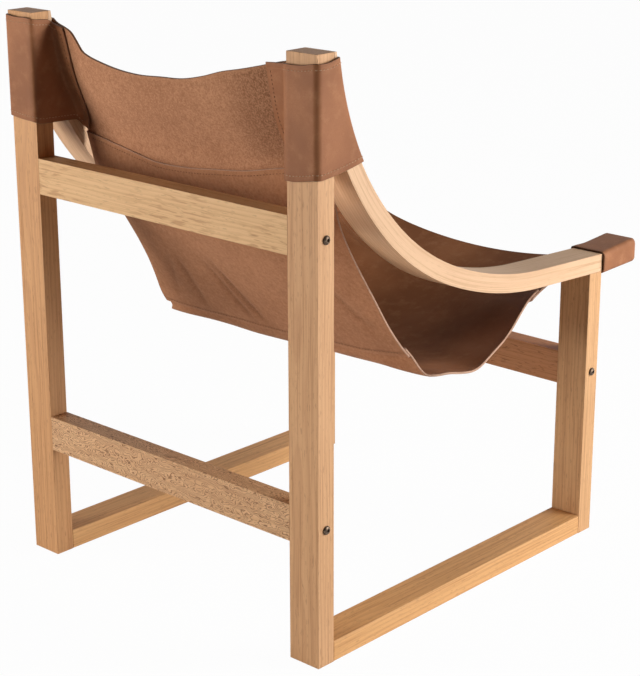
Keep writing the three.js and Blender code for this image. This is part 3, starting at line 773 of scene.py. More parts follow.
raw_edge = edge_finish("hide_raw_edge", tint(0.36, 0.205, 0.135), tint(0.60, 0.40, 0.30), 0.80)
dressed_edge = edge_finish("hide_dressed_edge", tint(0.12, 0.052, 0.026), tint(0.22, 0.100, 0.050), 0.45)
pale_thread = thread_finish("pale_thread", tint(0.38, 0.23, 0.14), tint(0.58, 0.39, 0.26))
brown_thread = thread_finish("brown_thread", tint(0.17, 0.080, 0.042), tint(0.31, 0.155, 0.085))
print("edges:", raw_edge.name, dressed_edge.name)

# %% [markdown]
# ## The line of the sling
# The sling is four panels sewn end to end: a top panel with the sleeves, a back, a seat and a front strip
# with the pockets. Together they hang as one sheet. Its shape is easiest to see as two lines: a side line
# down the sheet's edges, from the sleeves over the back and the seat to the pockets, and a middle line
# that hangs behind and below it. Smooth curves run through a few places on each, chosen from the
# photograph, and the sheet is drawn across between them like a slack cloth.

# %% Curves through chosen places
leather_thickness = 3.0 * mm
wrap = 2.3 * mm
sheet_half = inner_x - 7.0 * mm
sheet_flare = 40.0 * mm


def spline(points, places):
    """Centripetal curve through points; place 0 is the first point, 1 the second and so on."""
    points = np.asarray(points, float)
    places = np.clip(np.asarray(places, float), 0, len(points) - 1)
    padded = np.vstack([2 * points[0] - points[1], points, 2 * points[-1] - points[-2]])
    first = np.minimum(places.astype(int), len(points) - 2)
    share = (places - first)[..., None]
    before, start, end, after = (padded[first + step] for step in range(4))

    def gap(one, other):
        return np.sqrt(np.linalg.norm(other - one, axis=-1, keepdims=True)) + 1e-9

    gap_in, gap_mid, gap_out = gap(before, start), gap(start, end), gap(end, after)
    leave = (start - before) / gap_in - (end - before) / (gap_in + gap_mid) + (end - start) / gap_mid
    arrive = (end - start) / gap_mid - (after - start) / (gap_mid + gap_out) + (after - end) / gap_out
    leave, arrive = leave * gap_mid, arrive * gap_mid
    curve = start + leave * share
    curve = curve + (3 * (end - start) - 2 * leave - arrive) * share ** 2
    return curve + (2 * (start - end) + leave + arrive) * share ** 3


def rise(value, low, high):
    share = np.clip((value - low) / (high - low), 0, 1)
    return share * share * (3 - 2 * share)


def bulge(value, middle, half_width):
    return np.exp(-((value - middle) / half_width) ** 2)


def drop_profile(pairs):
    """Heights along X from (x, drop below the post tops) pairs in millimetres, ordered by x."""
    line = spline(np.array(pairs) * mm, np.linspace(0, len(pairs) - 1, 400))
    return lambda x: post_top - np.interp(x, line[:, 0], line[:, 1])


top_edge_z = drop_profile([
    (-235, 12), (-228, 16), (-194, 22), (-162, 30), (-128, 38), (-94, 45), (-59, 55), (-23, 62),
    (15, 64), (53, 66), (93, 64), (133, 58), (156, 53), (169, 48), (181, 36), (193, 25), (207, 20),
    (228, 15), (235, 10),
])
upper_seam_z = drop_profile([
    (-240, 153), (-150, 165), (-103, 174), (-49, 181), (8, 187), (66, 188),
    (106, 183), (147, 178), (188, 173), (240, 169),
])
print("top edge falls to", round(float(top_edge_z(0.05)), 3), "m")

# %% Stations down the sheet
upper_seam_ahead, upper_seam_drop = 57 * mm, 161 * mm
lower_seam_share, lower_seam_drop = 0.365, 86 * mm
pocket_low, pocket_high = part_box("arm_tip_pocket_left")
pocket_edge = pocket_low.x - 1.8 * mm


def forward(share):
    return rear_inner_y + (front_y - rear_inner_y) * share


def on_sleeve(drop, behind, below):
    z = post_top - drop * mm
    return sheet_half, float(arm_face_y(z)) - wrap, z, behind * mm, below * mm


def on_back(down, ahead, behind, below):
    y_top, z_top = rear_inner_y - upper_seam_ahead, post_top - upper_seam_drop
    y = y_top + (forward(lower_seam_share) - y_top) * ahead
    z = z_top + (arm_top_at_front - lower_seam_drop - z_top) * down
    return sheet_half, y, z, behind * mm, below * mm


def on_seat(share, drop, flare, behind, below):
    half = sheet_half + sheet_flare * flare
    return half, forward(share), arm_top_at_front - drop * mm, behind * mm, below * mm


def at_pocket(y, drop, below):
    return pocket_edge, y, arm_top_at_front - drop * mm, 0.0, below * mm


stations = np.array([
    on_sleeve(7, 8, 62), on_sleeve(72, 12, 38), on_sleeve(137, 15, 24),
    on_back(0, 0, 16, 25), on_back(0.25, 0.13, 15, 13), on_back(0.64, 0.58, 10, 8),
    on_seat(0.365, 86, 0.3, -4, 6), on_seat(0.40, 105, 0.85, 0, 7), on_seat(0.52, 116, 1.0, 0, 13),
    on_seat(0.66, 101, 0.7, 0, 28), on_seat(0.87, 55, 0.0, 0, 45),
    at_pocket(front_y, 28, 51), at_pocket(pocket_low.y, 16.5, 41),
])
side_line = stations[:, :3]
middle_line = np.column_stack([
    np.zeros(len(stations)), stations[:, 1] + stations[:, 3], stations[:, 2] - stations[:, 4],
])
upper_seam, lower_seam, front_edge = 3.0, 6.0, 12.0
print("stations:", len(stations), "front edge at", round(stations[-1, 1], 3))

# %% [markdown]
# ## Hanging the sheet
# Slack leather is not a clean parabola. The slack gathers to the sitter's left, the edges curl up
# last, the top edge and the seam have lines of their own, and the free edge ripples where the back folds
# into the seat. On the sitter's left the back also draws in to a waist below the rail, and its corner is
# round where it turns into the seat. Each of these is one small term below, so each can be judged against
# the photograph. Places down the sheet are given as stations.

# %% Hanging sheet
edge_curl = 0.25
slack_lean = 0.3
slack_tilt = 5 * mm
slack_shift = 8 * mm
seam_spread = 4.5 * mm
seam_pull = 6.0 * mm
back_waist = 14.0 * mm
waist_start, waist_end = (3.7, 4.4), (5.1, lower_seam)
corner_round = 16.0 * mm
corner_start, corner_end = (5.65, 6.45), (7.6, 9.0)


def plain_sheet(across, station):
    side, middle = spline(side_line, station), spline(middle_line, station)
    lean = slack_lean * np.maximum(0, 1 - station / lower_seam)
    out = np.abs(across - lean * (1 - across ** 2))
    hang = 1 - (1 - edge_curl) * out ** 2 - edge_curl * out ** 8
    gather = 1 - rise(station, lower_seam, front_edge)
    spread = seam_spread * bulge(station, upper_seam, 0.8)
    pull = seam_pull * bulge(station, upper_seam + 0.7, 0.8)
    pull = pull + back_waist * rise(station, *waist_start) * (1 - rise(station, *waist_end))
    pull = pull + corner_round * rise(station, *corner_start) * (1 - rise(station, *corner_end))
    half = side[..., 0] + np.where(across < 0, spread, -pull)
    x = half * across + slack_shift * gather * rise(station, 2, lower_seam)
    y = side[..., 1] + (middle[..., 1] - side[..., 1]) * hang
    z = side[..., 2] + (middle[..., 2] - side[..., 2]) * hang
    z = z - slack_tilt * across * gather * rise(station, 2, upper_seam)
    return np.stack([x, y, z], axis=-1)


def edge_ripple(across, station):
    """Lifts of the two side edges, as station, half width, lift on the right and lift on the left in mm."""
    ripples = [
        (5.90, 0.50, 6.5, 0.0), (6.70, 0.42, -6.5, -5.0), (7.45, 0.25, 2.0, 0.0),
        (8.25, 0.40, -4.5, 0.0), (10.1, 1.00, -3.0, 0.0),
    ]
    right, left = rise(-across, 0.62, 1.0), rise(across, 0.62, 1.0)
    return sum(
        bulge(station, middle, half_width) * (right * right_lift + left * left_lift) * mm
        for middle, half_width, right_lift, left_lift in ripples
    )


def hide_waves(across, station):
    slow = np.sin(across * 5.1 + station * 1.3) * np.sin(station * 2.3 - across * 1.7)
    quick = np.sin(across * 13.0 - station * 2.1) * np.sin(station * 5.3 + across * 4.0)
    calm_ends = rise(station, 0.0, 1.0) * (1 - rise(station, 10.5, 11.8))
    return (slow * 1.3 + quick * 0.35) * mm * calm_ends * (1 - 0.8 * rise(np.abs(across), 0.75, 1.0))


def hung_sheet(across, station):
    across = np.asarray(across, float)[:, None]
    station = np.atleast_2d(np.asarray(station, float))
    points = plain_sheet(across, station)
    top_row = plain_sheet(across, np.zeros((1, 1)))
    seam_row = plain_sheet(across, np.full((1, 1), upper_seam))
    top_fix = top_edge_z(top_row[..., 0]) - top_row[..., 2]
    seam_fix = upper_seam_z(seam_row[..., 0]) - seam_row[..., 2]
    near_top = 1 - rise(station, 0.0, 1.9)
    near_seam = rise(station, 1.1, 3.0) * (1 - rise(station, 3.0, 5.0))
    points[..., 2] += top_fix * near_top + seam_fix * near_seam + edge_ripple(across, station)
    return points + unit_normals(points) * hide_waves(across, station)[..., None]


def unit_normals(grid):
    """Points to the flesh side of a grid whose columns go to the sitter's left and rows down the sling."""
    normal = np.cross(np.gradient(grid, axis=0), np.gradient(grid, axis=1))
    return normal / np.linalg.norm(normal, axis=-1, keepdims=True)


probe = hung_sheet(np.linspace(-1, 1, 41), np.linspace(0, front_edge, 61))
print("sheet spans", probe.reshape(-1, 3).min(0).round(3), "to", probe.reshape(-1, 3).max(0).round(3))

# %% [markdown]
# ## From a grid to a piece of hide
# A panel starts as the middle of its thickness, a grid of points. The grain side and the flesh side are
# that grid moved half a thickness each way, and a narrow rounded rim closes the cut edge. Building the
# shell directly keeps the three finishes apart and gives a closed mesh. The distance to the cut edge, the
# stitch grooves and a mask of painted shade, for the creases and other shaded places, ride along as
# attributes for the finishes.

# %% Hide panels
rim_profile = [(-0.82, 0.40), (-0.30, 0.62), (0.30, 0.62), (0.82, 0.40)]


def run_lengths(grid, axis):
    steps = np.linalg.norm(np.diff(grid, axis=axis), axis=-1)
    start = np.zeros_like(np.take(steps, [0], axis=axis))
    return np.concatenate([start, np.cumsum(steps, axis=axis)], axis=axis)


def edge_distance(grid):
    down, across = run_lengths(grid, 1), run_lengths(grid, 0)
    from_foot = down[:, -1:] - down
    from_end = across[-1:] - across
    return np.minimum(np.minimum(down, from_foot), np.minimum(across, from_end))


def border(columns, rows):
    top = [(column, 0) for column in range(columns)]
    last = [(columns - 1, row) for row in range(1, rows)]
    foot = [(column, rows - 1) for column in range(columns - 2, -1, -1)]
    first = [(0, row) for row in range(rows - 2, 0, -1)]
    return np.array(top + last + foot + first)


def quads_between(first, second):
    return np.stack([first, np.roll(first, -1), np.roll(second, -1), second], axis=-1)


def hide_mesh(name, grid, attributes):
    columns, rows, _ = grid.shape
    normal = unit_normals(grid)
    half = leather_thickness / 2
    loop = border(columns, rows)
    inner = np.clip(loop, 1, [columns - 2, rows - 2])
    edge_points = grid[loop[:, 0], loop[:, 1]]
    outward = edge_points - grid[inner[:, 0], inner[:, 1]]
    outward /= np.linalg.norm(outward, axis=-1, keepdims=True)
    edge_normal = normal[loop[:, 0], loop[:, 1]]
    rims = [
        edge_points + edge_normal * half * share + outward * out * mm
        for share, out in rim_profile
    ]
    points = np.concatenate([
        (grid - normal * half).reshape(-1, 3), (grid + normal * half).reshape(-1, 3), *rims,
    ])

    index = np.arange(columns * rows).reshape(columns, rows)
    corners = [index[:-1, :-1], index[1:, :-1], index[1:, 1:], index[:-1, 1:]]
    squares = np.stack(corners, axis=-1).reshape(-1, 4)
    grain_loop = index[loop[:, 0], loop[:, 1]]
    flesh_loop = grain_loop + columns * rows
    rim_loops = [
        columns * rows * 2 + len(loop) * step + np.arange(len(loop)) for step in range(len(rim_profile))
    ]
    loops = [grain_loop, *rim_loops, flesh_loop]
    rim_faces = np.concatenate([quads_between(one, other) for one, other in zip(loops, loops[1:])])
    faces = np.concatenate([squares[:, ::-1], squares + columns * rows, rim_faces])
    finish_index = np.repeat([0, 1, 2], [len(squares), len(squares), len(rim_faces)])

    mesh = bpy.data.meshes.new(name)
    mesh.from_pydata(points.tolist(), [], faces.tolist())
    mesh.polygons.foreach_set("material_index", finish_index.astype(np.int32))
    for key, values in attributes.items():
        on_rim = np.tile(values[loop[:, 0], loop[:, 1]], len(rim_profile))
        spread = np.concatenate([values.ravel(), values.ravel(), on_rim])
        mesh.attributes.new(key, "FLOAT", "POINT").data.foreach_set("value", spread.astype(np.float32))
    return mesh


def cut_size(grid):
    """Width, length and area of the flat piece of hide that a grid was bent from."""
    one = np.cross(grid[1:, :-1] - grid[:-1, :-1], grid[1:, 1:] - grid[:-1, :-1])
    other = np.cross(grid[1:, 1:] - grid[:-1, :-1], grid[:-1, 1:] - grid[:-1, :-1])
    area = (np.linalg.norm(one, axis=-1).sum() + np.linalg.norm(other, axis=-1).sum()) / 2
    return run_lengths(grid, 0)[-1].max(), run_lengths(grid, 1)[:, -1].max(), area


def add_panel(name, grid, finishes, replaced, attributes):
    attributes = {"edge": edge_distance(grid), **attributes}
    far_off = np.ones(grid.shape[:2])
    attributes.setdefault("groove", far_off)
    attributes.setdefault("painted_shade", far_off * 0)
    panel = add_piece(name, hide_mesh(name, grid, attributes), "leather", replaced)
    for material in finishes:
        panel.data.materials.append(material)
    panel.modifiers.new("even_shading", "WEIGHTED_NORMAL")
    width, length, area = cut_size(grid)
    print(name, "cut from", round(width, 3), "by", round(length, 3), "m,", round(area, 4), "m2")
    return panel


print("rim of a cut edge:", len(rim_profile), "points")

# %% [markdown]
# ## Back, seat and front strip
# The back panel is sewn on behind its neighbours, so it is the sheet moved to its rear by a thickness. Its
# flesh side shows soft diagonal creases low on the back, where the hide folds towards the seat; their
# colour is darkened as painted shade. A painted shadow line runs close to its foot. The creases end before
# the lap, where two layers lie on each other. The seat panel is the sheet itself from the lower seam on,
# until it rises over the front strip and is lapped on its upper side. That seam runs at a slant in the
# photograph, so its station changes across the sheet.

# %% Back panel
seam_gap = 0.3 * mm
seam_lap = 16 * mm
panel_columns = 97


def stations_per_metre(station):
    ends = spline(middle_line, np.array([station - 0.25, station + 0.25]))
    return 0.5 / np.linalg.norm(ends[1] - ends[0])


upper_lap = upper_seam + seam_lap * stations_per_metre(upper_seam + 0.3)
lower_lap = lower_seam - seam_lap * stations_per_metre(lower_seam - 0.3)
across_columns = np.linspace(-1, 1, panel_columns)
crease_lines = [
    ((-0.55, 5.90), (-0.30, 5.10), 0.8), ((0.04, 5.98), (0.30, 4.75), 1.0), ((0.16, 5.98), (0.36, 4.75), 0.8),
    ((0.85, 5.80), (0.70, 4.90), 0.6), ((-0.90, 5.60), (-0.62, 4.70), 0.6), ((0.58, 6.00), (0.62, 4.80), 0.7),
]
crease_width = 7 * mm
crease_depth = 3.0 * mm
flat_scale = (sheet_half, 1 / stations_per_metre(5.5))


def crease_map(across, station):
    """How deep in a fold each point lies, from 0 to 1, with lines laid out on the flat hide."""
    flat = np.stack(np.meshgrid(across, station, indexing="ij"), axis=-1) * flat_scale
    depth = np.zeros(flat.shape[:2])
    for start, end, strength in crease_lines:
        start, end = np.array([start, end]) * flat_scale
        run = end - start
        share = (flat - start) @ run / (run @ run)
        fade = rise(share, -0.05, 0.3) * (1 - rise(share, 0.6, 1.05))
        aside = np.linalg.norm(flat - start - share[..., None] * run, axis=-1)
        depth = np.maximum(depth, strength * fade * bulge(aside, 0, crease_width))
    return depth


hem_start = lower_seam - 0.25
foot_shadow_inset = 8 * mm
foot_shadow_width = 2 * mm
hem_stations = np.linspace(hem_start, lower_seam, 20)
back_stations = np.append(np.linspace(upper_seam, hem_start, 66)[:-1], hem_stations)
back_sheet = hung_sheet(across_columns, back_stations)
back_down = run_lengths(back_sheet, 1)
# Painted shade: a dark shadow line a little above the back's foot, joined with the darkening of the creases
# into one mask for the flesh finish.
painted_foot_shadow = 0.9 * bulge(back_down[:, -1:] - back_down, foot_shadow_inset, foot_shadow_width)
back_folds = crease_map(across_columns, back_stations)
back_painted_shade = np.maximum(back_folds, painted_foot_shadow)
off_lap = 1 - rise(back_stations, lower_lap - 0.3, lower_lap)
behind = leather_thickness + seam_gap - back_folds * off_lap * crease_depth
back_grid = back_sheet + unit_normals(back_sheet) * behind[..., None]
hide_sides = (seat_grain, smooth_flesh, raw_edge)
back_panel = add_panel("back_hide", back_grid, hide_sides, "sling_back_panel", {"painted_shade": back_painted_shade})

# %% Seat panel and front strip
front_strip_depth = 138 * mm
front_lap_run = 60 * mm
front_seam_slant = 0.45


def behind_front(length):
    """The station that lies a length behind the sling's front edge on its middle line."""
    places = np.linspace(lower_seam, front_edge, 400)
    line = spline(middle_line, places)[:, None]
    run = run_lengths(line, 0)[:, 0]
    return float(np.interp(run[-1] - length, run, places))


slant = front_seam_slant * across_columns[:, None]
front_seam = behind_front(front_strip_depth) + slant
front_lap = behind_front(front_strip_depth - seam_lap) + slant
front_lap_start = behind_front(front_strip_depth + front_lap_run) + slant
seat_shares = np.linspace(0, 1, 151)[None, :]
seat_stations = lower_lap + (front_lap - lower_lap) * seat_shares
seat_sheet = hung_sheet(across_columns, seat_stations)
seat_lift = (leather_thickness + seam_gap) * rise(seat_stations, front_lap_start, front_seam)
seat_grid = seat_sheet - unit_normals(seat_sheet) * seat_lift[..., None]
seat_panel = add_panel("seat_hide", seat_grid, hide_sides, "sling_seat_panel", {})

front_stations = front_seam + (front_edge - front_seam) * np.linspace(0, 1, 49)[None, :]
front_grid = hung_sheet(across_columns, front_stations)
front_panel = add_panel("front_hide", front_grid, hide_sides, "sling_front_panel", {})

# %% [markdown]
# ## Top panel with its sleeves
# The top panel is one strip of hide. Its middle is the top of the hanging sheet, and each end goes on
# round the arm and the rear post as a sleeve, until a flap comes back to the sheet's rear and is sewn
# down. Seen from above that is one path, so each end is a row of columns along the path: the front turn,
# the outer face, the rear turn, the rear face, and then a dive along the post's inner face into the flap.
# The two flaps differ in the photograph, so drops and ends are kept for each side.

# %% Sleeve path
sheet_drops = (12, 141)
front_drops = (7, 137)
outer_drops = {1: (6, 143), -1: (11, 148)}
inner_drops = {1: (7, 146), -1: (15, 154)}
flap_drops = {1: (20, 165), -1: (24, 159)}
front_turn = 4.2 * mm
rear_turn = 7.0 * mm
sleeve_wrap = 2.8 * mm
flap_lay = leather_thickness + seam_gap
flap_corner = 7.0 * mm
flap_valley = 6.0 * mm
flap_ends = {1: (208, 205, 214), -1: (173, 173, 173)}
turn_steps = np.linspace(0, math.pi / 2, 6)


def sheet_rear_y(x, z):
    """The middle of the sheet at heights z, on the column that hangs nearest to x."""
    column = hung_sheet([x / sheet_half, x / sheet_half * 0.999], np.linspace(0, upper_lap + 0.3, 60))[0]
    return np.interp(z, column[::-1, 2], column[::-1, 1])


def between(first, second, share):
    return tuple(a + (b - a) * share for a, b in zip(first, second))


def sag(drops, share, depth):
    """Edges of a stretched stretch dip a little between two corners."""
    return drops[0] + depth * 4 * share * (1 - share), drops[1] + depth * 2 * share * (1 - share)


def sleeve_columns(side, rows):
    """Points of one sleeve, column by column from the sheet's edge to the flap's end."""
    wrap_x, wrap_y = outer_x + sleeve_wrap, rear_y + sleeve_wrap
    flap_line = np.polyfit((0, 0.5, 1), np.array(flap_ends[side]) * mm, 2)
    outer, inner = outer_drops[side], inner_drops[side]
    columns = []

    def add(plan, drops):
        z = post_top - (drops[0] + (drops[1] - drops[0]) * rows) * mm
        x, y = plan(z)
        columns.append(np.stack([side * x * np.ones_like(z), y * np.ones_like(z), z], axis=-1))

    def face(z):
        return arm_face_y(z) - wrap

    add(lambda z: (inner_x - 0.3 * mm, face(z)), between(sheet_drops, front_drops, 0.2))
    add(lambda z: ((inner_x + outer_x) / 2, face(z)), between(sheet_drops, front_drops, 0.7))
    for angle in turn_steps:
        run, lift = front_turn * math.sin(angle), front_turn * (1 - math.cos(angle))
        add(lambda z: (wrap_x - front_turn + run, face(z) + lift), front_drops)
    for share in np.linspace(0, 1, 10)[1:-1]:
        drops = sag(between(front_drops, outer, share), share, 1.2)
        puff = 0.7 * mm * math.sin(math.pi * share)
        add(lambda z: (
            wrap_x + puff, face(z) + front_turn + (wrap_y - rear_turn - front_turn - face(z)) * share,
        ), drops)
    for angle in turn_steps:
        run, lift = rear_turn * math.sin(angle), rear_turn * (1 - math.cos(angle))
        add(lambda z: (wrap_x - lift, wrap_y - rear_turn + run), outer)
    soft_start = inner_x + 13 * mm
    for share in np.linspace(0, 1, 8)[1:-1]:
        drops = sag(between(outer, inner, share), share, 1.0)
        add(lambda z: (wrap_x - rear_turn + (soft_start - wrap_x + rear_turn) * share, wrap_y), drops)

    def flap(z, place):
        flap_end = np.polyval(flap_line, rows)
        lay = sheet_rear_y(side * flap_end[0], z) + flap_lay
        inside = inner_x - sleeve_wrap + 0 * z
        corner, valley = np.stack([inside, wrap_y + 0 * z], -1), np.stack([inside, lay], -1)
        enter, leave = corner + (flap_corner, 0), corner - (0, flap_corner)
        dive, land = valley + (0, flap_valley), valley - (flap_valley, 0)
        stops = np.stack([
            np.stack([soft_start + 0 * z, wrap_y + 0 * z], -1),
            enter, corner / 2 + (enter + leave) / 4, leave,
            dive, valley / 2 + (dive + land) / 4, land,
            np.stack([flap_end, lay], -1),
        ])
        curve = np.stack([spline(stops[:, row], [place])[0] for row in range(len(z))])
        return curve[:, 0], curve[:, 1]

    last_stop = 7
    for place in np.linspace(0, last_stop, 36):
        add(lambda z: flap(z, place), between(inner, flap_drops[side], (place / last_stop) ** 2))
    return np.stack(columns)


panel_rows = np.linspace(0, 1, 49)
left_sleeve = sleeve_columns(1, panel_rows)
right_sleeve = sleeve_columns(-1, panel_rows)
print("sleeve columns:", len(left_sleeve), "by", len(panel_rows), "rows")

# %% Top panel
top_sheet = hung_sheet(across_columns, panel_rows * upper_lap)
top_grid = np.concatenate([right_sleeve[::-1], top_sheet, left_sleeve])
stitch_inset = 6.5 * mm
sleeve_size = len(left_sleeve)
on_sleeves = np.ones(len(top_grid), bool)
on_sleeves[sleeve_size:-sleeve_size] = False
top_down = run_lengths(top_grid, 1)
from_nearer_edge = np.minimum(top_down, top_down[:, -1:] - top_down)
top_groove = np.where(on_sleeves[:, None], from_nearer_edge - stitch_inset, 1.0)
# Painted shade: the upper suede on the sitter's right, behind the near post and sleeve, is darkened, less so
# lower down.
painted_shade_patch = np.zeros(top_grid.shape[:2])
patch_across = rise(-across_columns, 0.30, 0.72)[:, None]
patch_down = (1 - 0.8 * rise(panel_rows, 0.35, 1.0))[None, :]
painted_shade_patch[sleeve_size:-sleeve_size] = patch_across * patch_down
top_panel = add_panel("top_hide", top_grid, (hide_grain, suede, dressed_edge), "sling_top_panel", {
    "groove": top_groove, "painted_shade": painted_shade_patch,
})

# %% [markdown]
# ## Arm tip pockets
# The front of the sling is held by two leather caps that are pulled over the thinned arm tips. Each is a
# moulded pocket, open to the rear, with soft corners. It is lofted from rounded rectangles along the
# arm: the inside from the front to the rim, the outside back from the rim, and a rounded front, so the
# cap is one closed shell with a real mouth. It sits a little loose: the top rises towards the front, the
# outer wall stands off the arm, and a lip curls at the inner end of its dark rim.

# %% Pocket shape
pocket_turn = 7.0 * mm
pocket_slack = 3.0 * mm
pocket_rim = 1.5 * mm
pocket_peak = 7.5 * mm
pocket_sag = 2.5 * mm
pocket_lip = 6.0 * mm
pocket_points_per_turn = 8


def rounded_outline(half_x, half_z, radius):
    points = []
    for corner, (sign_x, sign_z) in enumerate(((1, 1), (-1, 1), (-1, -1), (1, -1))):
        for step in range(pocket_points_per_turn + 1):
            angle = math.pi / 2 * (corner + step / pocket_points_per_turn)
            points.append((
                sign_x * (half_x - radius) + radius * math.cos(angle),
                sign_z * (half_z - radius) + radius * math.sin(angle),
            ))
    return np.array(points)


def pocket_rings():
    """(y, shrink from the outside) from the inside of the front, out at the mouth, to the front's middle."""
    shell = leather_thickness
    front, mouth = pocket_low.y, pocket_high.y
    rings = [(front + shell, 14 * mm), (front + shell, shell + 3 * mm), (front + shell + 3 * mm, shell)]
    rings += [(y, shell) for y in np.linspace(front + 14 * mm, mouth - 0.6 * mm, 9)]
    rings += [(mouth, shell * 0.78), (mouth, shell * 0.22)]
    rings += [(y, 0.0) for y in np.linspace(mouth - 0.6 * mm, front + pocket_turn, 12)]
    for angle in np.linspace(0, math.pi / 2, 8)[1:]:
        rings.append((
            front + pocket_turn * (1 - math.sin(angle)), pocket_turn * (1 - math.cos(angle)),
        ))
    rings.append((front - 0.3 * mm, 11 * mm))
    return rings


def add_pocket(side_name, side):
    low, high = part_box("arm_tip_pocket_" + side_name)
    middle = (low + high) / 2
    half_x, half_z = (high.x - low.x) / 2, (high.z - low.z) / 2
    rings = []
    for y, shrink in pocket_rings():
        radius = max(pocket_turn - shrink, 1.5 * mm)
        outline = rounded_outline(half_x - shrink, half_z - shrink, min(radius, half_z - shrink))
        to_mouth = min(max((y - low.y) / (high.y - low.y), 0), 1)
        upper, lower = rise(outline[:, 1], 0, half_z), rise(-outline[:, 1], 0, half_z)
        outer, inner = rise(side * outline[:, 0], 0, half_x), rise(-side * outline[:, 0], 0, half_x)
        lip = inner * upper * rise(to_mouth, 0.70, 1.0)
        outline[:, 0] += side * (outer * pocket_slack - lip * pocket_lip)
        outline[:, 1] += upper * (pocket_rim + (pocket_peak - pocket_rim) * (1 - to_mouth))
        outline[:, 1] -= lower * pocket_sag * to_mouth
        rings.append(np.column_stack([outline[:, 0], np.full(len(outline), y), outline[:, 1]]))
    rings = np.array(rings) + (middle.x, 0, middle.z)
    count, around, _ = rings.shape
    index = np.arange(count * around).reshape(count, around)
    faces = [tuple(quad) for one, other in zip(index, index[1:]) for quad in quads_between(one, other)]
    faces += [tuple(index[0][::-1]), tuple(index[-1])]
    at_mouth = np.isclose(rings[:, 0, 1], high.y)
    finish_index = np.concatenate([np.repeat(at_mouth[:-1] | at_mouth[1:], around), [False, False]])
    name = "arm_tip_cap_" + side_name
    mesh = bpy.data.meshes.new(name)
    mesh.from_pydata(rings.reshape(-1, 3).tolist(), [], [[int(corner) for corner in face] for face in faces])
    mesh.polygons.foreach_set("material_index", finish_index.astype(np.int32))
    from_mouth = np.repeat(high.y - rings[:, 0, 1], around)
    plain, far_off = np.zeros_like(from_mouth), np.ones_like(from_mouth)
    for key, values in (("edge", from_mouth), ("groove", far_off), ("painted_shade", plain)):
        mesh.attributes.new(key, "FLOAT", "POINT").data.foreach_set("value", values.astype(np.float32))
    pocket = add_piece(name, mesh, "leather", "arm_tip_pocket_" + side_name)
    for material in (hide_grain, dressed_edge):
        mesh.materials.append(material)
    pocket.modifiers.new("even_shading", "WEIGHTED_NORMAL")
    return pocket


pockets = [add_pocket("left", 1), add_pocket("right", -1)]
print("pockets:", [pocket.name for pocket in pockets])

# %% [markdown]
# ## Stitching
# Waxed thread shows as short dashes, pale along the sleeve edges and brown on the flaps, the seams and the
# side edges of the seat. A bump map cannot catch the light as thread does, so every stitch is a small
# rounded bar of its own. A row follows the panel's grid at a set distance from an edge, and one mesh holds
# all the stitches of one kind of row.

# %% Stitch rows
stitch_pitch = 5.4 * mm
stitch_length = 3.0 * mm
stitch_radius = 0.55 * mm
side_inset = 5.0 * mm


def stitch_shape():
    """A bar along X with rounded, sunk ends: ring points and the quads between them."""
    rings, sides = [], 8
    for share in np.linspace(-1, 1, 7):
        thick = stitch_radius * math.sqrt(max(1 - abs(share) ** 3, 0.03))
        sink = stitch_radius * 0.9 * share * share
        angles = np.arange(sides) * 2 * math.pi / sides
        rings.append(np.column_stack([
            np.full(sides, share * stitch_length / 2), thick * np.cos(angles), thick * np.sin(angles) - sink,
        ]))
    index = np.arange(len(rings) * sides).reshape(len(rings), sides)
    faces = [quads_between(one, other) for one, other in zip(index, index[1:])]
    return np.concatenate(rings), np.concatenate(faces), [index[0][::-1], index[-1]]


def inset_line(grid, inset, axis, from_end, outside):
    """Points at a distance inside one edge of a panel, on its grain side (-1) or its flesh side (1)."""
    surface = grid + unit_normals(grid) * outside * leather_thickness / 2
    normal = unit_normals(grid) * outside
    if axis == 0:
        surface, normal = surface.swapaxes(0, 1), normal.swapaxes(0, 1)
    if from_end:
        surface, normal = surface[:, ::-1], normal[:, ::-1]
    reach_in = run_lengths(surface, 1)

    def sample(values):
        return np.array([
            [np.interp(inset, reach_in[line], values[line, :, part]) for part in range(3)]
            for line in range(len(values))
        ])

    return sample(surface), sample(normal)


def at_length(values, length, distance):
    return np.array([np.interp(distance, length, values[:, part]) for part in range(3)])


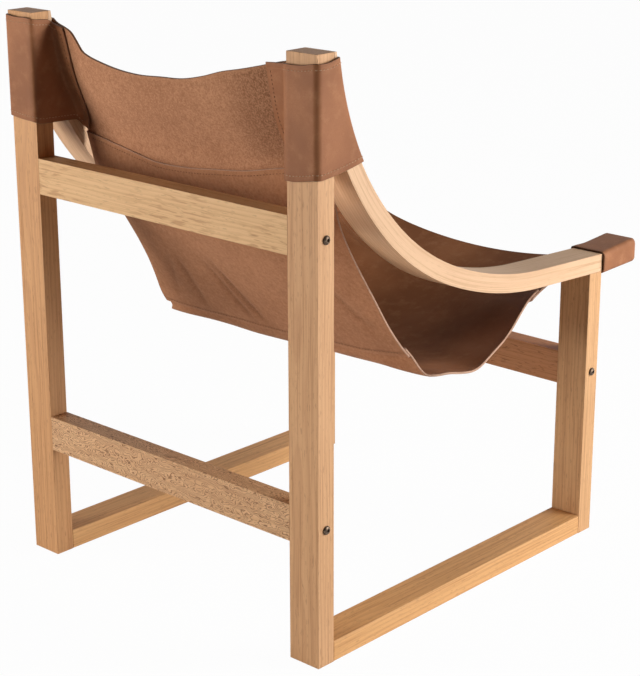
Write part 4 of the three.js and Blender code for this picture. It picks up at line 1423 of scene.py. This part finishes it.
def add_stitches(name, thread, lines):
    bar, bar_quads, bar_ends = stitch_shape()
    points, faces = [], []
    for path, normal in lines:
        length = np.concatenate([[0], np.cumsum(np.linalg.norm(np.diff(path, axis=0), axis=1))])
        for middle in np.arange(stitch_pitch, length[-1] - stitch_pitch / 2, stitch_pitch):
            fore = at_length(path, length, middle + stitch_length / 2)
            run = fore - at_length(path, length, middle - stitch_length / 2)
            run /= np.linalg.norm(run)
            up = at_length(normal, length, middle)
            up -= run * (up @ run)
            up /= np.linalg.norm(up)
            turned = bar @ np.stack([run, np.cross(up, run), up])
            start = sum(len(made) for made in points)
            points.append(turned + at_length(path, length, middle) + up * stitch_radius * 0.45)
            faces += (bar_quads + start).tolist() + [(end + start).tolist() for end in bar_ends]
    mesh = bpy.data.meshes.new(name)
    mesh.from_pydata(np.concatenate(points).tolist(), [], faces)
    row = add_piece(name, mesh, "leather")
    mesh.materials.append(thread)
    print(name, len(points), "stitches")
    return row


def part_of(line, first=2, last=-2):
    return tuple(values[first:last] for values in line)


both_edges = (False, True)
lapped_inset = seam_lap - stitch_inset
sleeve_rows = [
    part_of(inset_line(top_grid, stitch_inset, 1, from_end, -1), first, last)
    for from_end in both_edges for first, last in ((2, sleeve_size - 2), (-sleeve_size + 2, -2))
]
flap_rows = [part_of(inset_line(top_grid, stitch_inset, 0, from_end, -1)) for from_end in both_edges]
rear_rows = [part_of(inset_line(back_grid, stitch_inset, 1, from_end, 1)) for from_end in both_edges]
upper_row = part_of(inset_line(top_grid, lapped_inset, 1, True, -1), sleeve_size + 2, -sleeve_size - 2)
lower_row = part_of(inset_line(seat_grid, lapped_inset, 1, False, -1))
lap_row = part_of(inset_line(seat_grid, stitch_inset, 1, True, -1))
side_rows = [
    part_of(inset_line(grid, side_inset, 0, from_end, -1))
    for grid in (seat_grid, front_grid) for from_end in both_edges
]
sleeve_stitches = add_stitches("sleeve_stitches", pale_thread, sleeve_rows)
flap_stitches = add_stitches("flap_stitches", brown_thread, flap_rows)
back_stitches = add_stitches("seam_stitches_rear", brown_thread, rear_rows)
seat_stitches = add_stitches("seam_stitches_sitter_side", brown_thread, [upper_row, lower_row, lap_row])
side_stitches = add_stitches("side_stitches", brown_thread, side_rows)

# %% [markdown]
# ## Say what the hide is and close the scene
# The four panels are sheets, so each is declared with the size it was cut to, which is measured on the
# bent grid, because thick hide bends without stretching. The last cell compares the dressed chair's box
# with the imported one.

sleeve_carriers = ["rear_post_left", "rear_post_right", "arm_left", "arm_right"]
for panel, grid, carriers, sewn in (
    (top_panel, top_grid, sleeve_carriers, [sleeve_stitches, flap_stitches]),
    (back_panel, back_grid, ["top_hide", "seat_hide"], [back_stitches]),
    (seat_panel, seat_grid, ["back_hide", "front_hide"], [seat_stitches, side_stitches]),
    (front_panel, front_grid, ["arm_tip_cap_left", "arm_tip_cap_right"], []),
):
    cut_width, cut_length, cut_area = cut_size(grid)
